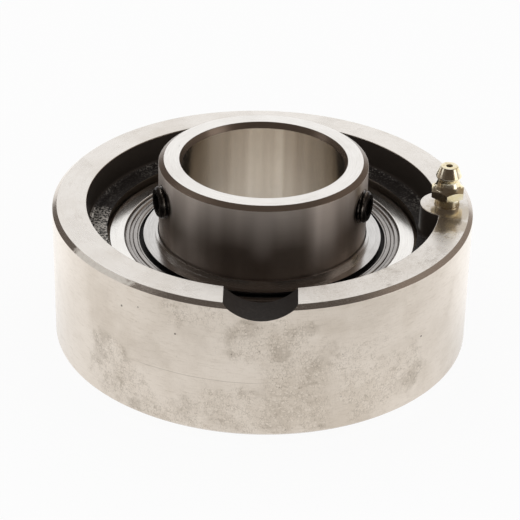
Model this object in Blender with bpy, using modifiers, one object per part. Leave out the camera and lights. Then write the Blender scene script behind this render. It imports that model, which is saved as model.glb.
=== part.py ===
"""Housed bearing unit: a round cast-iron cartridge around a self-aligning ball bearing insert.

The unit stands on the short end of its inner ring, with the shaft axis along +Z and the
origin in the middle of that end. The notch in the upper rim looks along -Y and the grease
fitting stands at +X. Every turned piece of the insert has its own origin at the centre of
the spherical seat, which is the point that the insert swivels about.
"""
import math

import bmesh
import bpy
from mathutils import Matrix

# Insert: inner ring
BORE_DIAMETER = 0.040
INNER_RING_WALL = 0.0058
LONG_END = 0.0207                 # inner ring's upper end beyond the outer ring's face
SHORT_END = 0.0095                # inner ring's lower end beyond the outer ring's face
RING_CHAMFER_RADIAL = 0.0013
RING_CHAMFER_AXIAL = 0.0009
BORE_CHAMFER_RADIAL = 0.00066
BORE_CHAMFER_AXIAL = 0.0015

# Insert: balls and raceways
BALL_COUNT = 9
BALL_DIAMETER = 0.0119
RACEWAY_CONFORMITY = 0.524        # groove radius over ball diameter
INNER_SHOULDER = 0.00175          # depth of the inner ring's groove
OUTER_SHOULDER = 0.0016           # depth of the outer ring's groove

# Insert: outer ring
OUTER_RING_WALL = 0.00565         # bore to the ball-shaped outside, at mid-width
OUTER_RING_SIDE = 0.00355         # room beside the balls for the cage and the seals
OUTER_RING_CORNER_RADIAL = 0.0011
OUTER_RING_CORNER_AXIAL = 0.0009
SHIELD_GROOVE_DEPTH = 0.0007
SHIELD_GROOVE_WIDTH = 0.0010

# Cartridge housing
SEAT_BEYOND_RING = 0.00185        # spherical seat's edge beyond the outer ring's face
RECESS_CLEARANCE = 0.0036         # sphere to the recess wall
UPPER_RECESS_DEPTH = 0.0075
LOWER_RECESS_DEPTH = 0.0053
RECESS_CORNER = 0.0012
RIM_WIDTH = 0.0084                # recess wall to the outside
HOUSING_CHAMFER_RADIAL = 0.0011
HOUSING_CHAMFER_AXIAL = 0.00095

# Notch in the upper rim, a round groove along Y
NOTCH_RADIUS = 0.0118
NOTCH_DEPTH = 0.0037

# Loading slots on the lower side, where the insert goes in edge-on
SLOT_SIDE_CLEARANCE = 0.0003
SLOT_END_CLEARANCE = 0.0006

# Set screws
SCREW_DIAMETER = 0.008
SCREW_LENGTH = 0.0074
SCREW_FROM_END = 0.0080           # ring's upper end down to the screw's axis
SCREW_PROUD = 0.0015              # how far a screw stands out of the ring at rest
SCREW_AZIMUTHS = {"set_screw_right": -20.0, "set_screw_left": -160.0}
SCREW_END_CHAMFER = 0.0006
SCREW_POINT_CHAMFER = 0.0012
SOCKET_WIDTH = 0.0040             # across the flats of the hexagon
SOCKET_DEPTH = 0.0030
CUP_DIAMETER = 0.0046
CUP_DEPTH = 0.0008

# Pressed steel cage
CAGE_SHEET = 0.0009
CAGE_RIBBON_WIDTH = 0.0040
CAGE_POCKET_GAP = 0.00025
RIVET_DIAMETER = 0.0018
RIVET_HEAD_DIAMETER = 0.0032
RIVET_HEAD_HEIGHT = 0.0007
RIVET_CROWN_DIAMETER = 0.0019     # flat top of a closed head

# Seals: a pressed shield, a rubber lip under it, and a slinger on the inner ring
SLINGER_SHEET = 0.0006
SLINGER_REACH = 0.0038            # inner ring to the slinger's edge
SLINGER_COLLAR_HEIGHT = 0.0013
SLINGER_RISE = 0.0001             # top of the disc above the outer ring's face
SHIELD_SHEET = 0.0006
SHIELD_EDGE_GAP = 0.0011          # slinger's edge to the shield's inner edge
SHIELD_RIM_WIDTH = 0.0009
SHIELD_RIM_BELOW_FACE = 0.0003
SHIELD_FLOOR_BELOW_FACE = 0.0007  # outer ring's face down to the top of the shield's inner flat
LIP_THICKNESS = 0.0006
LIP_OVERLAP = 0.0022              # how far the rubber reaches out under the shield

# Grease fitting
FITTING_FROM_RIM = 0.0064         # housing's outside in to the fitting's axis
FITTING_BOSS_DIAMETER = 0.0132
FITTING_SHANK_DIAMETER = 0.0061
FITTING_SHANK_BELOW = 0.0055      # shank length inside the housing
FITTING_POINT_CHAMFER = 0.0005
FITTING_HOLE_BELOW_SHANK = 0.0015
FITTING_NECKING = 0.00265         # bare shank between the housing's face and the hexagon
FITTING_HEX_WIDTH = 0.0078        # across the flats
FITTING_HEX_HEIGHT = 0.0020
FITTING_HEX_CHAMFER = 0.0005      # drop of the hexagon's corners under its upper face
FITTING_NECK_FOOT_HEIGHT = 0.0007 # lengths from the hexagon up to the top
FITTING_NECK_HEIGHT = 0.00115
FITTING_FLARE_HEIGHT = 0.0011
FITTING_HEAD_LAND = 0.0003
FITTING_HEAD_HEIGHT = 0.0026
FITTING_NECK_FOOT_DIAMETER = 0.0058
FITTING_NECK_DIAMETER = 0.0050
FITTING_HEAD_DIAMETER = 0.0065
FITTING_TOP_DIAMETER = 0.0044
FITTING_TOP_CHAMFER = 0.0003
FITTING_CHAMBER_DIAMETER = 0.0027
FITTING_INLET_DIAMETER = 0.0016
FITTING_INLET_DEPTH = 0.0006
FITTING_OUTLET_DIAMETER = 0.0016
FITTING_SPRING_SEAT = 0.0020      # height of the spring's shoulder over the housing's face
CHECK_BALL_DIAMETER = 0.0022
SPRING_WIRE = 0.0003
SPRING_TURNS = 5

# Grease way from the fitting to the balls
GREASE_FROM_FACE = 0.0030         # outer ring's face in to the middle of its grease groove
GREASE_HOLE_DIAMETER = 0.0032
GREASE_CROSS_DIAMETER = 0.0029
OUTER_RING_HOLE_DIAMETER = 0.0020
GREASE_GROOVE_WIDTH = 0.0030
GREASE_GROOVE_DEPTH = 0.0008

# Clearances between pieces that touch on the real unit
SEAT_GAP = 0.00025
RACEWAY_GAP = 0.00025
FACE_GAP = 0.00025
PRESS_GAP = 0.00025
THREAD_GAP = 0.0002

# Facets round each turned shape
HOUSING_STEPS = 72
RING_STEPS = 48
SEAL_STEPS = 32
BOSS_STEPS = 32
BALL_STEPS = 12
BALL_RINGS = 8
SMALL_STEPS = 18
WAY_STEPS = 10
TINY_STEPS = 8
CHECK_BALL_RINGS = 6
HEX_BLANK_STEPS = 24
SEAT_ARC_STEPS = 6
SPHERE_ARC_STEPS = 4
RACEWAY_ARC_STEPS = 6
CAGE_ARCH_STEPS = 8
NOTCH_STEPS = 48
WIRE_BEVEL_RESOLUTION = 1
SHARP_ANGLE = math.radians(32)
LEVEL_ANGLE = math.radians(8)     # a face this near to level counts as lying flat
CUT_MARGIN = 0.002
MERGE_DISTANCE = 0.00001
AXIS_MARK_SIZE = 0.010

# Radii that follow, from the bore outwards
BORE_RADIUS = BORE_DIAMETER / 2
INNER_RING_RADIUS = BORE_RADIUS + INNER_RING_WALL
BALL_RADIUS = BALL_DIAMETER / 2
RACEWAY_RADIUS = RACEWAY_CONFORMITY * BALL_DIAMETER
PITCH_RADIUS = INNER_RING_RADIUS - INNER_SHOULDER + BALL_RADIUS
OUTER_BORE_RADIUS = PITCH_RADIUS + BALL_RADIUS - OUTER_SHOULDER
SPHERE_RADIUS = OUTER_BORE_RADIUS + OUTER_RING_WALL
SEAT_RADIUS = SPHERE_RADIUS + SEAT_GAP
RECESS_RADIUS = SPHERE_RADIUS + RECESS_CLEARANCE
HOUSING_RADIUS = RECESS_RADIUS + RIM_WIDTH
FITTING_RADIUS = HOUSING_RADIUS - FITTING_FROM_RIM
SLINGER_RADIUS = INNER_RING_RADIUS + SLINGER_REACH
SHIELD_INNER_RADIUS = SLINGER_RADIUS + SHIELD_EDGE_GAP
POCKET_RADIUS = BALL_RADIUS + CAGE_POCKET_GAP

# Heights that follow, counted from the sphere centre outwards
RING_HALF_WIDTH = BALL_RADIUS + OUTER_RING_SIDE
RING_LONG_SIDE = RING_HALF_WIDTH + LONG_END
RING_SHORT_SIDE = RING_HALF_WIDTH + SHORT_END
SEAT_HALF_WIDTH = RING_HALF_WIDTH + SEAT_BEYOND_RING
HOUSING_TOP = SEAT_HALF_WIDTH + UPPER_RECESS_DEPTH
HOUSING_BOTTOM = -SEAT_HALF_WIDTH - LOWER_RECESS_DEPTH
SHIELD_TOP = RING_HALF_WIDTH - SHIELD_FLOOR_BELOW_FACE
SCREW_LEVEL = RING_LONG_SIDE - SCREW_FROM_END
GREASE_LEVEL = RING_HALF_WIDTH - GREASE_FROM_FACE
CENTRE_HEIGHT = RING_SHORT_SIDE   # sphere centre above the standing plane

# Heights of the fitting over the housing's face
FITTING_HOLE_DEPTH = FITTING_SHANK_BELOW + FITTING_HOLE_BELOW_SHANK
FITTING_HEX_TOP = FITTING_NECKING + FITTING_HEX_HEIGHT
FITTING_NECK_FOOT = FITTING_HEX_TOP + FITTING_NECK_FOOT_HEIGHT
FITTING_NECK_LEVEL = FITTING_NECK_FOOT + FITTING_NECK_HEIGHT
FITTING_LAND_BOTTOM = FITTING_NECK_LEVEL + FITTING_FLARE_HEIGHT
FITTING_HEAD_LEVEL = FITTING_LAND_BOTTOM + FITTING_HEAD_LAND
FITTING_TOP_LEVEL = FITTING_HEAD_LEVEL + FITTING_HEAD_HEIGHT


def clear_scene():
    """Remove every object of the start-up scene."""
    for obj in list(bpy.data.objects):
        bpy.data.objects.remove(obj, do_unlink=True)


def make_collection(name):
    """Return a new collection linked to the scene."""
    collection = bpy.data.collections.new(name)
    bpy.context.scene.collection.children.link(collection)
    return collection


def make_material(name, colour, roughness, metallic):
    """Return a Principled material of one plain colour."""
    material = bpy.data.materials.new(name)
    material.use_nodes = True
    shader = material.node_tree.nodes["Principled BSDF"]
    shader.inputs["Base Color"].default_value = (*colour, 1.0)
    shader.inputs["Roughness"].default_value = roughness
    shader.inputs["Metallic"].default_value = metallic
    return material


def move_to(obj, collection):
    """Keep an object in one collection only."""
    for old in list(obj.users_collection):
        old.objects.unlink(obj)
    collection.objects.link(obj)


def arc(centre, radius, start, end, steps):
    """Return points (r, z) along an arc, with its angles in radians from +r towards +z."""
    points = []
    for i in range(steps + 1):
        angle = start + (end - start) * i / steps
        points.append((centre[0] + radius * math.cos(angle), centre[1] + radius * math.sin(angle)))
    return points


def signed_area(points):
    """Return the area of a closed profile, negative where it runs clockwise."""
    total = 0.0
    for (r0, z0), (r1, z1) in zip(points, points[1:] + points[:1]):
        total += r0 * z1 - r1 * z0
    return total / 2


def turn(name, points, steps, closed=True):
    """Turn a profile of points (r, z) about the Z axis with a Screw modifier.

    A closed profile stays off the axis. An open one starts and ends on it and runs down its
    outer side.
    """
    if closed and signed_area(points) > 0:
        points = points[::-1]
    mesh = bpy.data.meshes.new(name)
    edges = [(i, i + 1) for i in range(len(points) - 1)]
    if closed:
        edges.append((len(points) - 1, 0))
    mesh.from_pydata([(r, 0.0, z) for r, z in points], edges, [])
    obj = bpy.data.objects.new(name, mesh)
    bpy.context.scene.collection.objects.link(obj)
    screw = obj.modifiers.new("Turn", "SCREW")
    screw.axis = "Z"
    screw.steps = steps
    screw.render_steps = steps
    screw.use_merge_vertices = True
    screw.merge_threshold = MERGE_DISTANCE
    screw.use_smooth_shade = True
    return obj


def cylinder(name, radius, depth, location, steps, rotation=(0.0, 0.0, 0.0)):
    """Add a primitive cylinder centred at a location."""
    bpy.ops.mesh.primitive_cylinder_add(
        vertices=steps, radius=radius, depth=depth, location=location, rotation=rotation)
    obj = bpy.context.active_object
    obj.name = name
    return obj


def box(name, size, location):
    """Add a primitive cube with its scale applied to the mesh."""
    bpy.ops.mesh.primitive_cube_add(size=1.0, location=location)
    obj = bpy.context.active_object
    obj.name = name
    obj.data.transform(Matrix.Diagonal((*size, 1.0)))
    return obj


def boolean(obj, other, operation):
    """Add an exact Boolean with a hidden helper object."""
    modifier = obj.modifiers.new(operation.title(), "BOOLEAN")
    modifier.operation = operation
    modifier.solver = "EXACT"
    modifier.object = other
    other.hide_render = True
    other.display_type = "WIRE"
    move_to(other, bpy.data.collections["cutters"])


def bake(obj):
    """Apply an object's modifiers and shade its round faces smooth."""
    bpy.context.view_layer.update()
    evaluated = obj.evaluated_get(bpy.context.evaluated_depsgraph_get())
    mesh = bpy.data.meshes.new_from_object(evaluated)
    mesh.name = obj.name
    obj.modifiers.clear()
    old = obj.data
    obj.data = mesh
    bpy.data.meshes.remove(old)
    mesh.shade_smooth()
    mesh.set_sharp_from_angle(angle=SHARP_ANGLE)


def finish(obj, material, parent=None):
    """Bake an object, give it its material, collection and parent, and keep its place."""
    bake(obj)
    obj.data.materials.clear()
    obj.data.materials.append(material)
    move_to(obj, bpy.data.collections["housed_bearing_unit"])
    if parent is not None:
        obj.parent = parent
        obj.matrix_parent_inverse = parent.matrix_world.inverted()
    return obj


def copy_of(obj, name, location, turn_about_z):
    """Return a copy that shares its mesh, moved and turned about Z."""
    copy = bpy.data.objects.new(name, obj.data)
    copy.location = location
    copy.rotation_euler = (0.0, 0.0, turn_about_z)
    bpy.data.collections["housed_bearing_unit"].objects.link(copy)
    return copy


def axis_empty(name, location, parent=None):
    """Return an empty that marks a joint's axis."""
    empty = bpy.data.objects.new(name, None)
    empty.location = location
    empty.empty_display_size = AXIS_MARK_SIZE
    bpy.data.collections["housed_bearing_unit"].objects.link(empty)
    if parent is not None:
        bpy.context.view_layer.update()
        empty.parent = parent
        empty.matrix_parent_inverse = parent.matrix_world.inverted()
    bpy.context.view_layer.update()
    return empty


def at_height(level):
    """Return the world place on the shaft axis at a height over the sphere centre."""
    return (0.0, 0.0, CENTRE_HEIGHT + level)


def around(radius, azimuth, level):
    """Return a world place at a radius, an azimuth in radians and a height over the centre."""
    return (radius * math.cos(azimuth), radius * math.sin(azimuth), CENTRE_HEIGHT + level)


def ball_azimuth(index):
    """Return the azimuth of a ball, counted from 0."""
    return 2 * math.pi * index / BALL_COUNT


def recess_cutter():
    """Return the space of the upper recess, with the fitting's boss left standing in it."""
    top = HOUSING_TOP + CUT_MARGIN
    recess = turn("recess_space", [
        (0.0, top),
        (RECESS_RADIUS, top),
        (RECESS_RADIUS, SEAT_HALF_WIDTH + RECESS_CORNER),
        (RECESS_RADIUS - RECESS_CORNER, SEAT_HALF_WIDTH),
        (0.0, SEAT_HALF_WIDTH),
    ], HOUSING_STEPS, closed=False)
    recess.location = at_height(0.0)
    depth = HOUSING_TOP - SEAT_HALF_WIDTH + 4 * CUT_MARGIN
    middle = (HOUSING_TOP + SEAT_HALF_WIDTH) / 2
    boss = cylinder("fitting_boss", FITTING_BOSS_DIAMETER / 2, depth,
                    around(FITTING_RADIUS, 0.0, middle), BOSS_STEPS)
    boolean(recess, boss, "DIFFERENCE")
    return recess


def slot_cutter():
    """Return the space of the two loading slots, from the lower floor up to mid-width."""
    radius = SEAT_RADIUS + SLOT_END_CLEARANCE
    depth = SEAT_HALF_WIDTH + CUT_MARGIN
    slots = cylinder("slot_round", radius, depth, at_height(-depth / 2), HOUSING_STEPS)
    width = 2 * (RING_HALF_WIDTH + SLOT_SIDE_CLEARANCE)
    sides = box("slot_sides", (width, 4 * radius, 4 * depth), at_height(0.0))
    boolean(slots, sides, "INTERSECT")
    return slots


def make_housing(material):
    """Make the cast cartridge: recesses, spherical seat, notch, slots and grease way."""
    seat_angle = math.asin(SEAT_HALF_WIDTH / SEAT_RADIUS)
    mouth = SEAT_RADIUS * math.cos(seat_angle)
    profile = [
        (mouth, HOUSING_TOP),
        (HOUSING_RADIUS - HOUSING_CHAMFER_RADIAL, HOUSING_TOP),
        (HOUSING_RADIUS, HOUSING_TOP - HOUSING_CHAMFER_AXIAL),
        (HOUSING_RADIUS, HOUSING_BOTTOM + HOUSING_CHAMFER_AXIAL),
        (HOUSING_RADIUS - HOUSING_CHAMFER_RADIAL, HOUSING_BOTTOM),
        (RECESS_RADIUS, HOUSING_BOTTOM),
        (RECESS_RADIUS, -SEAT_HALF_WIDTH - RECESS_CORNER),
        (RECESS_RADIUS - RECESS_CORNER, -SEAT_HALF_WIDTH),
    ]
    profile += arc((0.0, 0.0), SEAT_RADIUS, -seat_angle, seat_angle, SEAT_ARC_STEPS)
    housing = turn("cartridge_housing", profile, HOUSING_STEPS)
    housing.location = at_height(0.0)
    boolean(housing, recess_cutter(), "DIFFERENCE")
    boolean(housing, slot_cutter(), "DIFFERENCE")

    rim_middle = (HOUSING_RADIUS + RECESS_RADIUS) / 2
    notch_length = HOUSING_RADIUS - RECESS_RADIUS + 2 * CUT_MARGIN
    notch = cylinder("rim_notch", NOTCH_RADIUS, notch_length,
                     around(rim_middle, -math.pi / 2, HOUSING_TOP - NOTCH_DEPTH + NOTCH_RADIUS),
                     NOTCH_STEPS, rotation=(math.pi / 2, 0.0, 0.0))
    boolean(housing, notch, "DIFFERENCE")

    hole_depth = FITTING_HOLE_DEPTH + CUT_MARGIN
    hole = cylinder("fitting_hole", FITTING_SHANK_DIAMETER / 2 + THREAD_GAP, hole_depth,
                    around(FITTING_RADIUS, 0.0, HOUSING_TOP + CUT_MARGIN - hole_depth / 2),
                    SMALL_STEPS)
    boolean(housing, hole, "DIFFERENCE")

    way_radius = GREASE_HOLE_DIAMETER / 2
    way_top = HOUSING_TOP - FITTING_HOLE_DEPTH + CUT_MARGIN
    way_bottom = GREASE_LEVEL - way_radius
    down = cylinder("grease_way_down", way_radius, way_top - way_bottom,
                    around(FITTING_RADIUS, 0.0, (way_top + way_bottom) / 2), WAY_STEPS)
    boolean(housing, down, "DIFFERENCE")
    cross_start = math.sqrt(SEAT_RADIUS ** 2 - GREASE_LEVEL ** 2) - CUT_MARGIN
    cross_length = FITTING_RADIUS - cross_start
    across = cylinder("grease_way_across", GREASE_CROSS_DIAMETER / 2, cross_length,
                      around(cross_start + cross_length / 2, 0.0, GREASE_LEVEL), WAY_STEPS,
                      rotation=(0.0, math.pi / 2, 0.0))
    boolean(housing, across, "DIFFERENCE")
    return finish(housing, material)


def hexagon_cutter(name, width, height, place):
    """Return a tall ring whose hole is a hexagon, for cutting flats on a round blank."""
    outside = cylinder(name, width, height, place, HEX_BLANK_STEPS)
    corner_radius = width / 2 / math.cos(math.pi / 6)
    hexagon = cylinder(name + "_core", corner_radius, 2 * height, place, 6)
    boolean(outside, hexagon, "DIFFERENCE")
    return outside


def make_fitting(body_material, ball_material, spring_material, parent):
    """Make the grease fitting: turned body with a hexagon, its check ball and its spring."""
    shank = FITTING_SHANK_DIAMETER / 2
    hex_corner = FITTING_HEX_WIDTH / 2 / math.cos(math.pi / 6)
    neck = FITTING_NECK_DIAMETER / 2
    head = FITTING_HEAD_DIAMETER / 2
    top = FITTING_TOP_DIAMETER / 2
    chamber = FITTING_CHAMBER_DIAMETER / 2
    inlet = FITTING_INLET_DIAMETER / 2
    outlet = FITTING_OUTLET_DIAMETER / 2
    inlet_bottom = FITTING_TOP_LEVEL - FITTING_INLET_DEPTH
    seat_drop = chamber - inlet
    profile = [
        (inlet, FITTING_TOP_LEVEL),
        (top - FITTING_TOP_CHAMFER, FITTING_TOP_LEVEL),
        (top, FITTING_TOP_LEVEL - FITTING_TOP_CHAMFER),
        (head, FITTING_HEAD_LEVEL),
        (head, FITTING_LAND_BOTTOM),
        (neck, FITTING_NECK_LEVEL),
        (FITTING_NECK_FOOT_DIAMETER / 2, FITTING_NECK_FOOT),
        (FITTING_HEX_WIDTH / 2, FITTING_HEX_TOP),
        (hex_corner, FITTING_HEX_TOP - FITTING_HEX_CHAMFER),
        (hex_corner, FITTING_NECKING),
        (shank, FITTING_NECKING),
        (shank, FITTING_POINT_CHAMFER - FITTING_SHANK_BELOW),
        (shank - FITTING_POINT_CHAMFER, -FITTING_SHANK_BELOW),
        (outlet, -FITTING_SHANK_BELOW),
        (outlet, FITTING_SPRING_SEAT),
        (chamber, FITTING_SPRING_SEAT),
        (chamber, inlet_bottom - seat_drop),
        (inlet, inlet_bottom),
    ]
    place = around(FITTING_RADIUS, 0.0, HOUSING_TOP)
    body = turn("grease_fitting_body", profile, SMALL_STEPS)
    body.location = place
    hex_middle = (FITTING_NECKING + FITTING_HEX_TOP) / 2
    flats_place = around(FITTING_RADIUS, 0.0, HOUSING_TOP + hex_middle)
    flats = hexagon_cutter("fitting_flats", FITTING_HEX_WIDTH, FITTING_HEX_HEIGHT + CUT_MARGIN,
                           flats_place)
    boolean(body, flats, "DIFFERENCE")
    finish(body, body_material, parent)

    ball_radius = CHECK_BALL_DIAMETER / 2
    contact_drop = math.sqrt(ball_radius ** 2 - inlet ** 2)
    ball_level = inlet_bottom - contact_drop - FACE_GAP
    ball_place = around(FITTING_RADIUS, 0.0, HOUSING_TOP + ball_level)
    bpy.ops.mesh.primitive_uv_sphere_add(
        segments=TINY_STEPS, ring_count=CHECK_BALL_RINGS, radius=ball_radius,
        location=ball_place)
    ball = bpy.context.active_object
    ball.name = "grease_fitting_ball"
    finish(ball, ball_material, parent)

    coil_radius = chamber - SPRING_WIRE / 2 - FACE_GAP
    coil_bottom = FITTING_SPRING_SEAT + SPRING_WIRE / 2 + FACE_GAP
    coil_top = ball_level - ball_radius - SPRING_WIRE / 2 - FACE_GAP / 2
    make_spring(coil_radius, coil_bottom, coil_top, place, spring_material, parent)


def make_spring(radius, bottom, top, place, material, parent):
    """Make the small coil spring under the check ball."""
    curve = bpy.data.curves.new("grease_fitting_spring", "CURVE")
    curve.dimensions = "3D"
    curve.bevel_depth = SPRING_WIRE / 2
    curve.bevel_resolution = WIRE_BEVEL_RESOLUTION
    curve.use_fill_caps = True
    count = SPRING_TURNS * TINY_STEPS + 1
    spline = curve.splines.new("POLY")
    spline.points.add(count - 1)
    for i in range(count):
        share = i / (count - 1)
        angle = 2 * math.pi * SPRING_TURNS * share
        spline.points[i].co = (radius * math.cos(angle), radius * math.sin(angle),
                               bottom + (top - bottom) * share, 1.0)
    wire = bpy.data.objects.new("spring_wire", curve)
    bpy.context.scene.collection.objects.link(wire)
    bpy.context.view_layer.update()
    evaluated = wire.evaluated_get(bpy.context.evaluated_depsgraph_get())
    mesh = bpy.data.meshes.new_from_object(evaluated)
    bpy.data.objects.remove(wire, do_unlink=True)
    shape = bmesh.new()
    shape.from_mesh(mesh)
    bmesh.ops.remove_doubles(shape, verts=shape.verts, dist=MERGE_DISTANCE)
    bmesh.ops.recalc_face_normals(shape, faces=shape.faces)
    shape.to_mesh(mesh)
    shape.free()
    spring = bpy.data.objects.new("grease_fitting_spring", mesh)
    spring.location = place
    bpy.context.scene.collection.objects.link(spring)
    return finish(spring, material, parent)


def raceway(centre_radius, edge_radius, outer):
    """Return the points of a raceway groove, from its upper edge to its lower edge."""
    half_height = math.sqrt(RACEWAY_RADIUS ** 2 - (edge_radius - centre_radius) ** 2)
    angle = math.atan2(half_height, abs(edge_radius - centre_radius))
    if outer:
        return arc((centre_radius, 0.0), RACEWAY_RADIUS, angle, -angle, RACEWAY_ARC_STEPS)
    return arc((centre_radius, 0.0), RACEWAY_RADIUS, math.pi - angle, math.pi + angle,
               RACEWAY_ARC_STEPS)


def make_outer_ring(material, parent):
    """Make the outer ring: spherical outside, raceway, shield grooves and grease holes."""
    corner = RING_HALF_WIDTH - OUTER_RING_CORNER_AXIAL
    face_edge = math.sqrt(SPHERE_RADIUS ** 2 - corner ** 2) - OUTER_RING_CORNER_RADIAL
    groove_top = GREASE_LEVEL + GREASE_GROOVE_WIDTH / 2
    groove_bottom = GREASE_LEVEL - GREASE_GROOVE_WIDTH / 2
    groove_floor = math.sqrt(SPHERE_RADIUS ** 2 - groove_top ** 2) - GREASE_GROOVE_DEPTH
    outside = [(face_edge, RING_HALF_WIDTH)]
    outside += arc((0.0, 0.0), SPHERE_RADIUS, math.asin(corner / SPHERE_RADIUS),
                   math.asin(groove_top / SPHERE_RADIUS), 1)
    outside += [(groove_floor, groove_top), (groove_floor, groove_bottom)]
    outside += arc((0.0, 0.0), SPHERE_RADIUS, math.asin(groove_bottom / SPHERE_RADIUS),
                   -math.asin(corner / SPHERE_RADIUS), SPHERE_ARC_STEPS)
    outside.append((face_edge, -RING_HALF_WIDTH))

    groove_face = SHIELD_TOP + SHIELD_GROOVE_WIDTH / 2 - SHIELD_SHEET / 2
    groove_back = groove_face - SHIELD_GROOVE_WIDTH
    groove_radius = OUTER_BORE_RADIUS + SHIELD_GROOVE_DEPTH
    upper_bore = [
        (OUTER_BORE_RADIUS, RING_HALF_WIDTH),
        (OUTER_BORE_RADIUS, groove_face),
        (groove_radius, groove_face),
        (groove_radius, groove_back),
        (OUTER_BORE_RADIUS, groove_back),
    ]
    race_bottom = PITCH_RADIUS + BALL_RADIUS + RACEWAY_GAP
    race = raceway(race_bottom - RACEWAY_RADIUS, OUTER_BORE_RADIUS, outer=True)
    lower_bore = [(r, -z) for r, z in reversed(upper_bore)]
    inside = upper_bore + race + lower_bore
    ring = turn("outer_ring", outside + inside[::-1], RING_STEPS)
    ring.location = at_height(0.0)
    length = SPHERE_RADIUS - OUTER_BORE_RADIUS + 2 * CUT_MARGIN
    middle = (SPHERE_RADIUS + OUTER_BORE_RADIUS) / 2
    for side, azimuth in (("right", 0.0), ("left", math.pi)):
        hole = cylinder("ring_hole_" + side, OUTER_RING_HOLE_DIAMETER / 2, length,
                        around(middle, azimuth, GREASE_LEVEL), TINY_STEPS,
                        rotation=(0.0, math.pi / 2, azimuth))
        boolean(ring, hole, "DIFFERENCE")
    return finish(ring, material, parent)


def make_inner_ring(material, parent):
    """Make the extended inner ring: bore, raceway and two radial screw holes."""
    profile = [
        (BORE_RADIUS + BORE_CHAMFER_RADIAL, RING_LONG_SIDE),
        (INNER_RING_RADIUS - RING_CHAMFER_RADIAL, RING_LONG_SIDE),
        (INNER_RING_RADIUS, RING_LONG_SIDE - RING_CHAMFER_AXIAL),
    ]
    race_bottom = PITCH_RADIUS - BALL_RADIUS - RACEWAY_GAP
    profile += raceway(race_bottom + RACEWAY_RADIUS, INNER_RING_RADIUS, outer=False)
    profile += [
        (INNER_RING_RADIUS, RING_CHAMFER_AXIAL - RING_SHORT_SIDE),
        (INNER_RING_RADIUS - RING_CHAMFER_RADIAL, -RING_SHORT_SIDE),
        (BORE_RADIUS + BORE_CHAMFER_RADIAL, -RING_SHORT_SIDE),
        (BORE_RADIUS, BORE_CHAMFER_AXIAL - RING_SHORT_SIDE),
        (BORE_RADIUS, RING_LONG_SIDE - BORE_CHAMFER_AXIAL),
    ]
    ring = turn("inner_ring", profile, RING_STEPS)
    ring.location = at_height(0.0)
    length = INNER_RING_RADIUS - BORE_RADIUS + 2 * CUT_MARGIN
    middle = (INNER_RING_RADIUS + BORE_RADIUS) / 2
    for name, degrees in SCREW_AZIMUTHS.items():
        azimuth = math.radians(degrees)
        hole = cylinder(name + "_hole", SCREW_DIAMETER / 2 + THREAD_GAP, length,
                        around(middle, azimuth, SCREW_LEVEL), SMALL_STEPS,
                        rotation=(0.0, math.pi / 2, azimuth))
        boolean(ring, hole, "DIFFERENCE")
    return finish(ring, material, parent)


def make_set_screws(material, parent):
    """Make the two headless screws, each with a hexagon socket outside and a cup point."""
    radius = SCREW_DIAMETER / 2
    outer_end = SCREW_LENGTH
    profile = [
        (0.0, outer_end),
        (radius - SCREW_END_CHAMFER, outer_end),
        (radius, outer_end - SCREW_END_CHAMFER),
        (radius, SCREW_POINT_CHAMFER),
        (radius - SCREW_POINT_CHAMFER, 0.0),
        (CUP_DIAMETER / 2, 0.0),
        (0.0, CUP_DEPTH),
    ]
    tip_radius = INNER_RING_RADIUS + SCREW_PROUD - SCREW_LENGTH
    screws = []
    for name, degrees in SCREW_AZIMUTHS.items():
        azimuth = math.radians(degrees)
        screw = turn(name, profile, SMALL_STEPS, closed=False)
        screw.location = around(tip_radius, azimuth, SCREW_LEVEL)
        screw.rotation_euler = (0.0, math.pi / 2, azimuth)
        socket_middle = tip_radius + SCREW_LENGTH + (CUT_MARGIN - SOCKET_DEPTH) / 2
        socket = cylinder(name + "_socket", SOCKET_WIDTH / 2 / math.cos(math.pi / 6),
                          SOCKET_DEPTH + CUT_MARGIN, around(socket_middle, azimuth, SCREW_LEVEL),
                          6, rotation=(0.0, math.pi / 2, azimuth))
        boolean(screw, socket, "DIFFERENCE")
        screws.append(finish(screw, material, parent))
    return screws


def make_balls(material, parent):
    """Make the ring of balls, one object each, on one shared mesh."""
    bpy.ops.mesh.primitive_uv_sphere_add(
        segments=BALL_STEPS, ring_count=BALL_RINGS, radius=BALL_RADIUS,
        location=around(PITCH_RADIUS, ball_azimuth(0), 0.0))
    first = bpy.context.active_object
    first.name = "ball_01"
    balls = [finish(first, material, parent)]
    for i in range(1, BALL_COUNT):
        azimuth = ball_azimuth(i)
        ball = copy_of(first, f"ball_{i + 1:02d}", around(PITCH_RADIUS, azimuth, 0.0), azimuth)
        ball.parent = parent
        ball.matrix_parent_inverse = parent.matrix_world.inverted()
        balls.append(ball)
    return balls


def ribbon_path():
    """Return (azimuth, height) of the cage ribbon's face next to the balls, all round.

    The ribbon lies flat between the balls and arches over each one. The arch is measured
    along the pitch circle, with its corners outside the pocket's circle so that each
    straight facet only touches it.
    """
    flat = FACE_GAP / 2
    radius = POCKET_RADIUS / math.cos(math.pi / (2 * CAGE_ARCH_STEPS))
    start = math.asin(flat / radius)
    path = []
    for i in range(BALL_COUNT):
        for step in range(CAGE_ARCH_STEPS + 1):
            angle = start + (math.pi - 2 * start) * step / CAGE_ARCH_STEPS
            along = -radius * math.cos(angle)
            path.append((ball_azimuth(i) + along / PITCH_RADIUS, radius * math.sin(angle)))
    return path


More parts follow.
